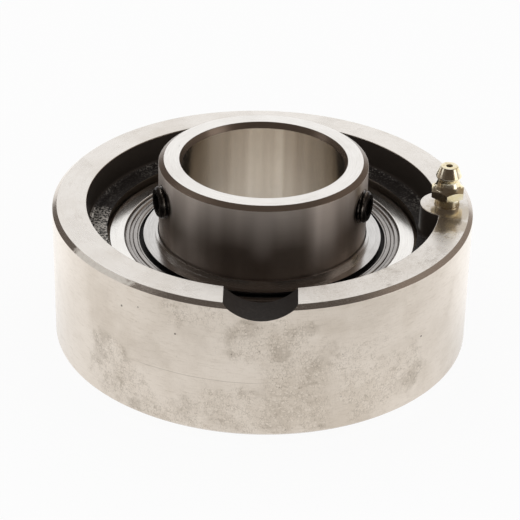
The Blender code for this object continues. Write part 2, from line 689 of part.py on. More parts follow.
def make_cage_half(name, side, material, parent):
    """Make one half of the cage: a waved ribbon, extruded outwards and given its thickness."""
    inner = PITCH_RADIUS - CAGE_RIBBON_WIDTH / 2
    outer = PITCH_RADIUS + CAGE_RIBBON_WIDTH / 2
    shape = bmesh.new()
    loop = []
    for azimuth, level in ribbon_path():
        loop.append(shape.verts.new(
            (inner * math.cos(azimuth), inner * math.sin(azimuth), side * level)))
    edges = [shape.edges.new((a, b)) for a, b in zip(loop, loop[1:] + loop[:1])]
    pulled = bmesh.ops.extrude_edge_only(shape, edges=edges)["geom"]
    pulled_verts = [item for item in pulled if isinstance(item, bmesh.types.BMVert)]
    bmesh.ops.scale(shape, vec=(outer / inner, outer / inner, 1.0), verts=pulled_verts)
    bmesh.ops.recalc_face_normals(shape, faces=shape.faces)
    flat_faces = [face for face in shape.faces if abs(face.normal.z) > math.cos(LEVEL_ANGLE)]
    if flat_faces[0].normal.z * side < 0:
        bmesh.ops.reverse_faces(shape, faces=shape.faces)
    mesh = bpy.data.meshes.new(name)
    shape.to_mesh(mesh)
    shape.free()
    half = bpy.data.objects.new(name, mesh)
    half.location = at_height(0.0)
    bpy.context.scene.collection.objects.link(half)
    wall = half.modifiers.new("Sheet", "SOLIDIFY")
    wall.thickness = CAGE_SHEET
    wall.offset = 1.0
    wall.use_even_offset = True
    for i in range(BALL_COUNT):
        azimuth = ball_azimuth(i + 0.5)
        hole = cylinder(f"{name}_hole_{i + 1:02d}", RIVET_DIAMETER / 2 + PRESS_GAP / 2,
                        CAGE_SHEET * 4, around(PITCH_RADIUS, azimuth, side * CAGE_SHEET),
                        TINY_STEPS, rotation=(0.0, 0.0, azimuth))
        boolean(half, hole, "DIFFERENCE")
    return finish(half, material, parent)


def make_rivets(material, parent):
    """Make the rivets that hold the two cage halves, one object each on a shared mesh."""
    grip = FACE_GAP / 2 + CAGE_SHEET + PRESS_GAP / 2
    head = RIVET_HEAD_DIAMETER / 2
    shank = RIVET_DIAMETER / 2
    upper = [
        (0.0, grip + RIVET_HEAD_HEIGHT),
        (RIVET_CROWN_DIAMETER / 2, grip + RIVET_HEAD_HEIGHT),
        (head, grip),
        (shank, grip),
    ]
    profile = upper + [(r, -z) for r, z in reversed(upper)]
    first = turn("cage_rivet_01", profile, TINY_STEPS, closed=False)
    azimuth = ball_azimuth(0.5)
    first.location = around(PITCH_RADIUS, azimuth, 0.0)
    first.rotation_euler = (0.0, 0.0, azimuth)
    finish(first, material, parent)
    for i in range(1, BALL_COUNT):
        azimuth = ball_azimuth(i + 0.5)
        rivet = copy_of(first, f"cage_rivet_{i + 1:02d}",
                        around(PITCH_RADIUS, azimuth, 0.0), azimuth)
        rivet.parent = parent
        rivet.matrix_parent_inverse = parent.matrix_world.inverted()


def make_seal(label, side, shield_material, lip_material, slinger_material, outer, inner):
    """Make one side's shield and rubber lip on the outer ring and slinger on the inner ring."""
    rim_outer = OUTER_BORE_RADIUS + SHIELD_GROOVE_DEPTH - PRESS_GAP
    bore_edge = OUTER_BORE_RADIUS - PRESS_GAP
    rim_inner = bore_edge - SHIELD_RIM_WIDTH
    rim_top = RING_HALF_WIDTH - SHIELD_RIM_BELOW_FACE
    shield_back = SHIELD_TOP - SHIELD_SHEET
    shield = [
        (rim_outer, SHIELD_TOP),
        (rim_outer, shield_back),
        (SHIELD_INNER_RADIUS, shield_back),
        (SHIELD_INNER_RADIUS, SHIELD_TOP),
        (rim_inner - SHIELD_SHEET / 2, SHIELD_TOP),
        (rim_inner, rim_top),
        (bore_edge, rim_top),
        (bore_edge, SHIELD_TOP),
    ]
    lip_top = shield_back - FACE_GAP
    lip_bottom = lip_top - LIP_THICKNESS
    lip_outer = SHIELD_INNER_RADIUS + LIP_OVERLAP
    lip_inner = INNER_RING_RADIUS + FACE_GAP
    lip = [
        (lip_outer, lip_top),
        (lip_outer, lip_bottom),
        (lip_inner + LIP_THICKNESS, lip_bottom),
        (lip_inner, lip_top),
        (lip_inner + LIP_THICKNESS, lip_top),
    ]
    collar_inner = INNER_RING_RADIUS + PRESS_GAP
    collar_outer = collar_inner + SLINGER_SHEET
    disc_top = RING_HALF_WIDTH + SLINGER_RISE
    disc_back = disc_top - SLINGER_SHEET
    slinger = [
        (collar_inner, disc_top + SLINGER_COLLAR_HEIGHT),
        (collar_outer, disc_top + SLINGER_COLLAR_HEIGHT),
        (collar_outer, disc_top + SLINGER_SHEET / 2),
        (collar_outer + SLINGER_SHEET / 2, disc_top),
        (SLINGER_RADIUS - SLINGER_SHEET / 2, disc_top),
        (SLINGER_RADIUS, disc_back),
        (collar_inner, disc_back),
    ]
    pieces = (
        ("seal_shield_", shield, shield_material, outer),
        ("seal_lip_", lip, lip_material, outer),
        ("slinger_", slinger, slinger_material, inner),
    )
    for stem, profile, material, parent in pieces:
        piece = turn(stem + label, [(r, side * z) for r, z in profile], SEAL_STEPS)
        piece.location = at_height(0.0)
        finish(piece, material, parent)


def main():
    """Build the whole unit."""
    clear_scene()
    make_collection("housed_bearing_unit")
    make_collection("cutters")
    iron = make_material("turned_cast_iron", (0.63, 0.58, 0.53), 0.42, 0.85)
    steel = make_material("ground_bearing_steel", (0.62, 0.60, 0.58), 0.18, 1.0)
    pressed = make_material("pressed_steel", (0.52, 0.52, 0.52), 0.30, 1.0)
    rubber = make_material("nitrile_rubber", (0.02, 0.02, 0.02), 0.6, 0.0)
    black = make_material("black_oxide_steel", (0.045, 0.04, 0.038), 0.35, 0.9)
    plated = make_material("yellow_zinc_plate", (0.72, 0.62, 0.38), 0.22, 1.0)

    housing = make_housing(iron)
    make_fitting(plated, steel, steel, housing)
    swivel = axis_empty("insert_swivel_axis", at_height(0.0), housing)
    outer_ring = make_outer_ring(steel, swivel)
    spin = axis_empty("inner_ring_spin_axis", at_height(0.0), outer_ring)
    inner_ring = make_inner_ring(steel, spin)
    make_set_screws(black, inner_ring)
    cage = axis_empty("cage_spin_axis", at_height(0.0), outer_ring)
    make_cage_half("cage_half_upper", 1, pressed, cage)
    make_cage_half("cage_half_lower", -1, pressed, cage)
    make_rivets(pressed, cage)
    make_balls(steel, cage)
    make_seal("upper", 1, pressed, rubber, pressed, outer_ring, inner_ring)
    make_seal("lower", -1, pressed, rubber, pressed, outer_ring, inner_ring)


main()
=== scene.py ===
"""Looks of a housed bearing unit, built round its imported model.

A turned iron cartridge carries a self-aligning ball bearing insert: ground rings, pressed steel
seals, two threaded set screws and a yellow-plated grease fitting in its rim. Helpers for turned
pieces and shader nodes come first, then the finishes and the studio. Each class after these
builds one sub-assembly as it would come off the bench, and gives it its finish. All lengths are
in metres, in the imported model's own frame: the shaft runs along +Z, the grease fitting stands
at +X and the notch in the rim looks along -Y.
"""

import logging
import math
from collections.abc import Callable, Iterable, Iterator, Mapping, Sequence
from contextlib import contextmanager
from dataclasses import dataclass, field
from enum import Enum
from functools import cache
from typing import NamedTuple

import bpy
from mathutils import Matrix, Vector

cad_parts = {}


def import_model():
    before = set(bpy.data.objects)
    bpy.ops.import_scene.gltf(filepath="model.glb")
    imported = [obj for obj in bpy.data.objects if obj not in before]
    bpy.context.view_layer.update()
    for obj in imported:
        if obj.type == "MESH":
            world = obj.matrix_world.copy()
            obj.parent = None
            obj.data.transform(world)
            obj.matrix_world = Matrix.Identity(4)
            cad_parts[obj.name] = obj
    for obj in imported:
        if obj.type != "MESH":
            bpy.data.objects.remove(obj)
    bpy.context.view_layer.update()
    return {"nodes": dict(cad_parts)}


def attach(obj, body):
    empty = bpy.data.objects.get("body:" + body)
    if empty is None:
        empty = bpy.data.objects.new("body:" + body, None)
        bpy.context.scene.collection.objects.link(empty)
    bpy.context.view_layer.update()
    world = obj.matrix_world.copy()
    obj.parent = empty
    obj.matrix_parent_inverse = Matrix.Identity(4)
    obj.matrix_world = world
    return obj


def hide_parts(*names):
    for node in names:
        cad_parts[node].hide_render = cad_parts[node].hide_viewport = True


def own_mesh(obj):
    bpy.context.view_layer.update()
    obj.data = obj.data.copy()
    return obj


log = logging.getLogger("housed_bearing_unit")

SEAT_CENTRE = 0.019
"""Height of the ball-shaped seat's centre, about which both sides of the insert mirror."""

DRUM_RADIUS = 0.052
"""Radius of the cartridge's outside."""

RIM_TOP = 0.03785
"""Height of the cartridge's upper face."""

FITTING_PLACE = 0.0456
"""Distance of the grease fitting's axis from the shaft axis."""

RING_RADIUS = 0.0258
"""Radius of the inner ring's outside."""

BORE_RADIUS = 0.020
"""Radius of the inner ring's bore."""

BALL_RADIUS = 0.00595
"""Radius of a bearing ball."""

BALL_CIRCLE = 0.030
"""Radius of the circle that the balls' centres run on."""

SCREW_LEVEL = 0.0412
"""Height of the set screws' axes."""

RIGHT_SCREW = -20.0
"""Direction of the right set screw, in degrees round the shaft from +X."""

LEFT_SCREW = -160.0
"""Direction of the left set screw, in degrees round the shaft from +X."""

"""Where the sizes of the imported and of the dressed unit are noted."""

WELD = 1e-6
"""Points that are closer together than this become one."""

TURN = 2 * math.pi
"""One whole turn in radians."""


class Side(Enum):
    """A side of the insert."""

    UPPER = 1
    LOWER = -1

    def height(self, level: float) -> float:
        """Return the height of a level that is given for the upper side."""
        return SEAT_CENTRE + self.value * (level - SEAT_CENTRE)


class Shape(Enum):
    """How a tool solid changes the piece that it meets."""

    CUT_AWAY = "DIFFERENCE"
    KEEP_COMMON = "INTERSECT"


class Zone(Enum):
    """The zones of the cartridge, in the order of its finishes."""

    DRUM = 0
    FACE = 1
    CHAMFER = 2
    CAST = 3
    PAINTED = 4
    SEAT = 5
    NOTCH = 6


class RingZone(Enum):
    """The zones of a bearing ring, in the order of its finishes."""

    END = 0
    RACE = 1
    SIDE = 2
    BORE = 3
    CHAMFER = 4


class Corner(NamedTuple):
    """A corner of a turned section.

    Args:
        r: Distance from the turning axis.
        z: Height along the turning axis.
        fillet: Radius that the corner is rounded to.
    """

    r: float
    z: float
    fillet: float = 0.0


Point = tuple[float, float]
"""Radius and height of a point of a section."""

FILLET_STEPS = 5
"""How many chords a rounded corner has."""


def on_side(side: Side, corners: Iterable[Corner]) -> list[Corner]:
    """Return corners that are given for the insert's upper side, on one of its sides."""
    return [Corner(corner.r, side.height(corner.z), corner.fillet) for corner in corners]


def arc(centre: Point, radius: float, start: float, end: float, steps: int) -> list[Corner]:
    """Return corners along an arc.

    Args:
        centre: Radius and height of the arc's centre.
        radius: Radius of the arc.
        start: First angle in degrees, from outwards towards up.
        end: Last angle in degrees.
        steps: How many chords the arc has.

    Returns:
        One corner more than there are chords.
    """
    corners = []
    for index in range(steps + 1):
        angle = math.radians(start + (end - start) * index / steps)
        corners.append(Corner(centre[0] + radius * math.cos(angle),
                              centre[1] + radius * math.sin(angle)))
    return corners


def round_corner(before: Vector, corner: Corner, after: Vector) -> list[Point]:
    """Return the points that stand for one corner.

    Args:
        before: The corner before it.
        corner: The corner to round.
        after: The corner after it.

    Returns:
        The corner itself, or the points of its fillet.
    """
    here = Vector((corner.r, corner.z))
    back = before - here
    ahead = after - here
    if corner.fillet <= 0.0 or back.length < WELD or ahead.length < WELD:
        return [(corner.r, corner.z)]
    half = back.angle(ahead) / 2
    if half > math.radians(89):
        return [(corner.r, corner.z)]
    reach = min(corner.fillet / math.tan(half), back.length / 2, ahead.length / 2)
    radius = reach * math.tan(half)
    bisector = (back.normalized() + ahead.normalized()).normalized()
    centre = here + bisector * (radius / math.sin(half))
    first = here + back.normalized() * reach - centre
    last = here + ahead.normalized() * reach - centre
    sweep = first.angle_signed(last)
    points = []
    for index in range(FILLET_STEPS + 1):
        angle = -sweep * index / FILLET_STEPS
        turned_first = Matrix.Rotation(angle, 2) @ first
        points.append(tuple(centre + turned_first))
    return points


def rounded(corners: Sequence[Corner], closed: bool = True) -> list[Point]:
    """Round the corners of an outline.

    Args:
        corners: The outline's corners in order.
        closed: Whether the last corner joins the first.

    Returns:
        The outline's points.
    """
    places = [Vector((corner.r, corner.z)) for corner in corners]
    points: list[Point] = []
    for index, corner in enumerate(corners):
        if not closed and index in (0, len(corners) - 1):
            points.append((corner.r, corner.z))
            continue
        points += round_corner(places[index - 1], corner, places[(index + 1) % len(places)])
    return points


def close_rings(radius: float, first: float, last: float, count: int) -> list[Corner]:
    """Return a straight stretch with many rings of points, for a thread to be pressed in.

    Args:
        radius: Radius of the stretch.
        first: Height where it starts.
        last: Height where it ends.
        count: How many steps it has.

    Returns:
        One corner more than there are steps.
    """
    return [Corner(radius, first + (last - first) * index / count) for index in range(count + 1)]


def sheet(path: Sequence[Corner], thickness: float) -> list[Corner]:
    """Return the section of a pressed sheet.

    Args:
        path: The middle line of the sheet, with its bend radii.
        thickness: Thickness of the sheet.

    Returns:
        The closed section, offset by half the thickness on both sides.
    """
    middle = [Vector(point) for point in rounded(path, closed=False)]
    left: list[Corner] = []
    right: list[Corner] = []
    for index, point in enumerate(middle):
        run = middle[min(index + 1, len(middle) - 1)] - middle[max(index - 1, 0)]
        side = Vector((-run.y, run.x)).normalized() * thickness / 2
        left.append(Corner(*(point + side)))
        right.append(Corner(*(point - side)))
    return left + right[::-1]


def select_only(piece: bpy.types.Object) -> None:
    """Select one object, make it active and deselect all others.

    Args:
        piece: The object.
    """
    bpy.ops.object.select_all(action="DESELECT")
    piece.select_set(True)
    bpy.context.view_layer.objects.active = piece


@contextmanager
def editing(piece: bpy.types.Object) -> Iterator[None]:
    """Open a piece in edit mode, with all of its mesh selected.

    Args:
        piece: The piece to edit.

    Yields:
        Nothing. The piece is back in object mode afterwards.
    """
    select_only(piece)
    bpy.ops.object.mode_set(mode="EDIT")
    bpy.ops.mesh.select_all(action="SELECT")
    yield
    bpy.ops.object.mode_set(mode="OBJECT")


def turned(name: str, corners: Sequence[Corner], steps: int) -> bpy.types.Object:
    """Turn a closed section about the Z axis, as on a lathe.

    A ring of wire is added, its points are laid on the section, and it is spun once round.

    Args:
        name: Name of the piece.
        corners: The section's corners. Those on the axis close the piece there.
        steps: How many facets go once round.

    Returns:
        The turned piece.
    """
    points = rounded(corners)
    bpy.ops.object.select_all(action="DESELECT")
    bpy.ops.mesh.primitive_circle_add(vertices=len(points), radius=corners[0].r + WELD)
    piece = bpy.context.active_object
    piece.name = name
    piece.data.name = name
    for vertex, (r, z) in zip(piece.data.vertices, points):
        vertex.co = (r, 0.0, z)
    with editing(piece):
        bpy.ops.mesh.spin(steps=steps, angle=TURN, center=(0, 0, 0), axis=(0, 0, 1))
        bpy.ops.mesh.select_all(action="SELECT")
        bpy.ops.mesh.remove_doubles(threshold=WELD)
        bpy.ops.mesh.dissolve_degenerate(threshold=WELD)
        bpy.ops.mesh.delete_loose(use_verts=True, use_edges=True, use_faces=False)
        bpy.ops.mesh.select_all(action="SELECT")
        bpy.ops.mesh.normals_make_consistent(inside=False)
    return piece


def drum(name: str, radius: float, low: float, high: float, sides: int) -> bpy.types.Object:
    """Add a plain upright cylinder that serves as a tool.

    Args:
        name: Name of the tool.
        radius: Its radius.
        low: Height of its lower end.
        high: Height of its upper end.
        sides: How many flats it has.

    Returns:
        The tool.
    """
    bpy.ops.object.select_all(action="DESELECT")
    bpy.ops.mesh.primitive_cylinder_add(
        vertices=sides, radius=radius, depth=high - low, location=(0, 0, (low + high) / 2))
    tool = bpy.context.active_object
    tool.name = name
    bpy.ops.object.transform_apply(location=True, rotation=True, scale=True)
    return tool


def sphere(name: str, radius: float, level: float, steps: int) -> bpy.types.Object:
    """Turn a ball whose middle lies on the Z axis.

    Args:
        name: Name of the piece.
        radius: Its radius.
        level: Height of its middle.
        steps: How many facets go once round.

    Returns:
        The ball.
    """
    return turned(name, arc((0.0, level), radius, -90, 90, steps // 2), steps)


def place(piece: bpy.types.Object, matrix: Matrix) -> bpy.types.Object:
    """Move a piece's mesh and leave its object at the origin."""
    piece.data.transform(matrix)
    return piece


def combine(piece: bpy.types.Object, tool: bpy.types.Object, how: Shape) -> None:
    """Cut a piece with a tool, which is used up.

    Args:
        piece: The piece that changes.
        tool: The closed solid that meets it.
        how: What is done where they meet.
    """
    modifier = piece.modifiers.new(how.name.title(), "BOOLEAN")
    modifier.operation = how.value
    modifier.solver = "EXACT"
    modifier.object = tool
    select_only(piece)
    bpy.ops.object.modifier_apply(modifier=modifier.name)
    bpy.data.objects.remove(tool, do_unlink=True)


def soften(piece: bpy.types.Object, angle: float = 28.0) -> None:
    """Shade a piece smooth, with its flats kept flat.

    Args:
        piece: The piece.
        angle: Degrees between two faces past which their edge stays sharp.
    """
    select_only(piece)
    bpy.ops.object.shade_smooth_by_angle(angle=math.radians(angle))
    weights = piece.modifiers.new("Face weights", "WEIGHTED_NORMAL")
    weights.keep_sharp = True
    bpy.ops.object.modifier_apply(modifier=weights.name)


def thread(piece: bpy.types.Object, radius: float, depth: float, pitch: float,
           low: float, high: float) -> None:
    """Press a helical groove into the round stretch of a piece that turns about Z.

    Args:
        piece: The piece, with rings of points close together along the stretch.
        radius: Outer radius of the thread.
        depth: Depth of the groove.
        pitch: Rise of the groove in one turn.
        low: Height where the thread starts.
        high: Height where it ends.
    """
    on_stretch = 20 * WELD
    half_groove = 0.42  # half the groove's width as a share of the pitch
    overcut = 1.15  # how much deeper a sharp groove would be, which leaves this one a flat floor
    for vertex in piece.data.vertices:
        r = math.hypot(vertex.co.x, vertex.co.y)
        if abs(r - radius) > on_stretch or not low <= vertex.co.z <= high:
            continue
        phase = (vertex.co.z / pitch - math.atan2(vertex.co.y, vertex.co.x) / TURN) % 1.0
        flank = max(0.0, 1.0 - abs(phase - 0.5) / half_groove)
        run_out = min(1.0, (vertex.co.z - low) / pitch, (high - vertex.co.z) / pitch)
        share = 1.0 - depth * min(flank * overcut, 1.0) * run_out / radius
        vertex.co.x *= share
        vertex.co.y *= share


def hexagon_corner(flats: float) -> float:
    """Return the distance of a hexagon's corners from its middle, from its width over flats."""
    return flats / 2 / math.cos(math.pi / 6)


def pointing_out(azimuth: float) -> Matrix:
    """Return the turn that lays +Z down, away from the shaft at an azimuth in radians."""
    return Matrix.Rotation(azimuth, 4, "Z") @ Matrix.Rotation(math.pi / 2, 4, "Y")


def dress(piece: bpy.types.Object, materials: Sequence[bpy.types.Material],
          choose: Callable[[Vector, Vector], Zone | RingZone] | None = None) -> None:
    """Give a piece its finishes.

    Args:
        piece: The piece.
        materials: Its materials in slot order.
        choose: Returns the zone of a face from its middle and its normal.
    """
    piece.data.materials.clear()
    for material in materials:
        piece.data.materials.append(material)
    if choose is not None:
        for face in piece.data.polygons:
            face.material_index = choose(face.center, face.normal).value


def mount(piece: bpy.types.Object, body: str, nodes: Iterable[str]) -> None:
    """Fix a finished piece to its body and report it.

    Args:
        piece: The piece.
        body: The body that it moves with.
        nodes: The plain solids that it stands in for.
    """
    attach(piece, body)
    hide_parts(*nodes)
    log.info("%s: %d faces on %s", piece.name, len(piece.data.polygons), body)


Value = bpy.types.NodeSocket | float | tuple[float, ...]
"""What an input takes: another node's output, or a plain value."""


class Graph:
    """Adds shader nodes to one tree and wires them together.

    Args:
        tree: The tree that takes the nodes.
    """

    def __init__(self, tree: bpy.types.NodeTree) -> None:
        self.tree = tree

    def feed(self, socket: bpy.types.NodeSocket, value: Value) -> None:
        """Link a socket to another one, or set its plain value."""
        if isinstance(value, bpy.types.NodeSocket):
            self.tree.links.new(value, socket)
        else:
            socket.default_value = value

    def add(self, kind: str, inputs: Mapping[str | int, Value] | None = None,
            **settings: object) -> bpy.types.Node:
        """Add a node.

        Args:
            kind: The node's type.
            inputs: Sockets or values for its inputs, by name or number.
            **settings: Its other properties.

        Returns:
            The node.
        """
        node = self.tree.nodes.new(kind)
        for name, value in settings.items():
            setattr(node, name, value)
        for name, value in (inputs or {}).items():
            self.feed(node.inputs[name], value)
        return node

    def maths(self, operation: str, *values: Value) -> bpy.types.NodeSocket:
        """Add a Math node and return its result."""
        return self.add("ShaderNodeMath", dict(enumerate(values)), operation=operation).outputs[0]

    def vector(self, operation: str, *values: Value) -> bpy.types.Node:
        """Add a Vector Math node and return it."""
        return self.add("ShaderNodeVectorMath", dict(enumerate(values)), operation=operation)

    def parts(self, vector: Value) -> list[bpy.types.NodeSocket]:
        """Return a vector's X, Y and Z."""
        return list(self.add("ShaderNodeSeparateXYZ", {0: vector}).outputs)

    def times(self, vector: Value, factor: Value) -> bpy.types.NodeSocket:
        """Return a vector times a factor."""
        return self.add("ShaderNodeVectorMath", {0: vector, 3: factor}, operation="SCALE").outputs[0]

    def mix(self, share: Value, first: Value, second: Value) -> bpy.types.NodeSocket:
        """Blend two colours by a share and return the result."""
        node = self.add("ShaderNodeMix", {0: share, 6: first, 7: second}, data_type="RGBA")
        return node.outputs[2]

    def lay(self, under: Value, over: Value, mask: Value, strength: float) -> bpy.types.NodeSocket:
        """Lay a colour over another one through a mask, at a strength, and return the result."""
        return self.mix(self.maths("MULTIPLY", mask, strength), under, over)

    def ease(self, value: Value, low: Value, high: Value, start: Value = 0.0,
             end: Value = 1.0) -> bpy.types.NodeSocket:
        """Ease a value in and out between two others.

        Args:
            value: The value.
            low: Where it starts to count.
            high: Where it has counted in full.
            start: The result up to the low value.
            end: The result from the high value on.

        Returns:
            The result.
        """
        node = self.add("ShaderNodeMapRange", {0: value, 1: low, 2: high, 3: start, 4: end},
                        interpolation_type="SMOOTHSTEP")
        return node.outputs[0]

    def noise(self, position: Value, scale: Value, detail: float = 2.0, rough: float = 0.5,
              distortion: float = 0.0) -> bpy.types.NodeSocket:
        """Add a noise.

        Args:
            position: Where it is read.
            scale: How many of its features there are to a metre.
            detail: How many finer layers it has.
            rough: How strong the finer layers are.
            distortion: How far it is warped.

        Returns:
            Its value, about a half on average.
        """
        node = self.add("ShaderNodeTexNoise", {
            "Vector": position, "Scale": scale, "Detail": detail, "Roughness": rough,
            "Distortion": distortion})
        return node.outputs[0]

    def group(self, tree: bpy.types.NodeTree, inputs: Mapping[str, Value]) -> bpy.types.Node:
        """Place a shared node group and return its node."""
        return self.add("ShaderNodeGroup", inputs, node_tree=tree)


class Socket(Enum):
    """Kinds of socket that a shared group has."""

    VALUE = "NodeSocketFloat"
    VECTOR = "NodeSocketVector"


class Effect:
    """A node group under construction.

    Args:
        name: Name of the group.
        inputs: Its inputs and their kinds.
        outputs: Its outputs, which are all values.
    """

    def __init__(self, name: str, inputs: Mapping[str, Socket], outputs: Sequence[str]) -> None:
        self.tree = bpy.data.node_groups.new(name, "ShaderNodeTree")
        for label, kind in inputs.items():
            self.tree.interface.new_socket(label, in_out="INPUT", socket_type=kind.value)
        for label in outputs:
            self.tree.interface.new_socket(label, in_out="OUTPUT", socket_type=Socket.VALUE.value)
        self.graph = Graph(self.tree)
        self.source = self.graph.add("NodeGroupInput").outputs
        self.sink = self.graph.add("NodeGroupOutput").inputs

    def give(self, **results: Value) -> bpy.types.NodeTree:
        """Wire the results to the outputs.

        Args:
            **results: What each output puts out.

        Returns:
            The finished group.
        """
        for label, value in results.items():
            self.graph.feed(self.sink[label], value)
        return self.tree


@cache
def turning_marks() -> bpy.types.NodeTree:
    """Build fine tool marks that run round the Z axis, on faces and on cylinders alike.

    Returns:
        A group with the outputs Fine, for single marks, and Broad, for bands of them.
    """
    effect = Effect("Turning marks", {"Position": Socket.VECTOR, "Pitch": Socket.VALUE,
                                      "Length": Socket.VALUE}, ["Fine", "Broad"])
    graph = effect.graph
    flat = graph.vector("MULTIPLY", effect.source["Position"], (1.0, 1.0, 0.0)).outputs[0]
    radius = graph.vector("LENGTH", flat).outputs[1]
    height = graph.parts(effect.source["Position"])[2]
    lean = 1.7  # weight of the radius beside the height, so that no cone of the part is unmarked
    across = graph.maths("DIVIDE", graph.maths("MULTIPLY_ADD", radius, lean, height),
                         effect.source["Pitch"])
    around = graph.vector("NORMALIZE", flat).outputs[0]
    results = []
    fine = 1.0
    broad = 0.16
    for stretch in (fine, broad):
        turns = graph.maths("DIVIDE", stretch, effect.source["Length"])
        along = graph.times(around, turns)
        lift = graph.add("ShaderNodeCombineXYZ", {2: graph.maths("MULTIPLY", across, stretch)})
        place_on_lathe = graph.vector("ADD", along, lift.outputs[0]).outputs[0]
        results.append(graph.noise(place_on_lathe, 1.0, 3.0, 0.6))
    return effect.give(Fine=results[0], Broad=results[1])


@cache
def stain_film() -> bpy.types.NodeTree:
    """Build the film that dried oil and coolant leave on bare iron.

    Returns:
        A group with the outputs Film, for its patches, Lace, for the dark rims of dried drops, and
        Clear, for the drops that dried bright.
    """
    effect = Effect("Stain film", {"Position": Socket.VECTOR, "Drop": Socket.VALUE},
                    ["Film", "Lace", "Clear"])
    graph = effect.graph
    position = effect.source["Position"]
    scale = graph.maths("DIVIDE", 1.0, effect.source["Drop"])
    sway = graph.add("ShaderNodeTexNoise", {
        "Vector": position, "Scale": graph.maths("MULTIPLY", scale, 0.9), "Detail": 3.0})
    way = graph.vector("SUBTRACT", sway.outputs["Color"], (0.5, 0.5, 0.5)).outputs[0]
    shift = graph.times(way, graph.maths("MULTIPLY", effect.source["Drop"], 1.5))
    swayed = graph.vector("ADD", position, shift).outputs[0]
    rims = graph.add("ShaderNodeTexVoronoi", {"Vector": swayed, "Scale": scale},
                     feature="DISTANCE_TO_EDGE")
    drops = graph.add("ShaderNodeTexVoronoi", {"Vector": swayed, "Scale": scale})
    pick = graph.add("ShaderNodeSeparateColor", {0: drops.outputs["Color"]})
    kept = graph.ease(graph.noise(position, graph.maths("MULTIPLY", scale, 0.5), 3.0, 0.6), 0.46, 0.6)
    rim = graph.ease(rims.outputs["Distance"], 0.02, 0.11, 1.0, 0.0)
    cloud = graph.noise(position, graph.maths("MULTIPLY", scale, 0.09), 5.0, 0.62, 0.5)
    brink = 0.52  # value of the cloud at which the film begins
    off_brink = graph.maths("ABSOLUTE", graph.maths("SUBTRACT", cloud, brink))
    shore = graph.ease(off_brink, 0.0, 0.012, 1.0, 0.0)
    lace = graph.maths("MAXIMUM", graph.maths("MULTIPLY", rim, kept),
                       graph.maths("MULTIPLY", shore, 0.7))
    bright = graph.maths("GREATER_THAN", pick.outputs[0], 0.62)
    clear = graph.maths("MULTIPLY", graph.ease(rims.outputs["Distance"], 0.08, 0.24), bright)
    film = graph.ease(cloud, brink, 0.64)
    return effect.give(Film=film, Lace=lace, Clear=clear)


@cache
def pits() -> bpy.types.NodeTree:
    """Build scattered specks, such as pores in cast iron.

    Returns:
        A group with the output Mask, 1 inside a pit.
    """
    effect = Effect("Pits", {"Position": Socket.VECTOR, "Spacing": Socket.VALUE,
                             "Share": Socket.VALUE, "Radius": Socket.VALUE}, ["Mask"])
    graph = effect.graph
    scale = graph.maths("DIVIDE", 1.0, effect.source["Spacing"])
    cells = graph.add("ShaderNodeTexVoronoi", {"Vector": effect.source["Position"], "Scale": scale})
    pick = graph.add("ShaderNodeSeparateColor", {0: cells.outputs["Color"]})
    chosen = graph.maths("LESS_THAN", pick.outputs[0], effect.source["Share"])
    size = graph.maths("MULTIPLY", graph.maths("MULTIPLY", effect.source["Radius"], scale),
                       graph.maths("ADD", 0.4, pick.outputs[1]))
    dip = graph.ease(cells.outputs["Distance"], graph.maths("MULTIPLY", size, 0.6), size, 1.0, 0.0)
    return effect.give(Mask=graph.maths("MULTIPLY", dip, chosen))


@cache
def hairlines() -> bpy.types.NodeTree:
    """Build thin stray scratches in three directions.

    Returns:
        A group with the output Mask, 1 on a scratch.
    """
    effect = Effect("Hairlines", {"Position": Socket.VECTOR, "Size": Socket.VALUE,
                                  "Share": Socket.VALUE}, ["Mask"])
    graph = effect.graph
    scale = graph.maths("DIVIDE", 1.0, effect.source["Size"])
    total: Value = 0.0
    for turn_about, stretch in (((0.3, 0.2, 0.5), (0.9, 14.0, 14.0)),
                                ((1.1, 0.7, 2.0), (14.0, 0.8, 14.0)),
                                ((0.5, 1.4, 1.2), (14.0, 14.0, 0.9))):
        turned_position = graph.add("ShaderNodeMapping", {
            "Vector": effect.source["Position"], "Rotation": turn_about, "Scale": stretch})
        value = graph.noise(turned_position.outputs[0], scale, 2.0, 0.5, 0.15)
        edge = graph.maths("SUBTRACT", 0.86, graph.maths("MULTIPLY", effect.source["Share"], 0.2))
        line = graph.ease(value, edge, graph.maths("ADD", edge, 0.02))
        total = graph.maths("MAXIMUM", total, line)
    return effect.give(Mask=total)


@cache
def soft_patch() -> bpy.types.NodeTree:
    """Build one ragged patch round a place on the part.

    Returns:
        A group with the output Mask, 1 in the middle of the patch.
    """
    effect = Effect("Ragged patch", {"Position": Socket.VECTOR, "Centre": Socket.VECTOR,
                                     "Reach": Socket.VALUE, "Ragged": Socket.VALUE}, ["Mask"])
    graph = effect.graph
    away = graph.vector("DISTANCE", effect.source["Position"], effect.source["Centre"]).outputs[1]
    share = graph.maths("DIVIDE", away, effect.source["Reach"])
    wobble = graph.maths("MULTIPLY_ADD", graph.maths("SUBTRACT", effect.source["Ragged"], 0.5), 1.6,
                         share)
    return effect.give(Mask=graph.ease(wobble, 0.45, 1.0, 1.0, 0.0))


Colour = tuple[float, float, float, float]
"""Linear red, green and blue, and an alpha of 1."""


def tint(red: int, green: int, blue: int) -> Colour:
    """Return a linear colour from display values.

    Args:
        red: Red from 0 to 255.
        green: Green from 0 to 255.
        blue: Blue from 0 to 255.

    Returns:
        The colour, opaque.
    """
    channels = []
    for value in (red, green, blue):
        share = value / 255
        low = share / 12.92
        high = ((share + 0.055) / 1.055) ** 2.4
        channels.append(low if share <= 0.04045 else high)
    return (channels[0], channels[1], channels[2], 1.0)


PORE_BROWN = tint(66, 56, 48)
"""Colour inside the pores of the iron."""

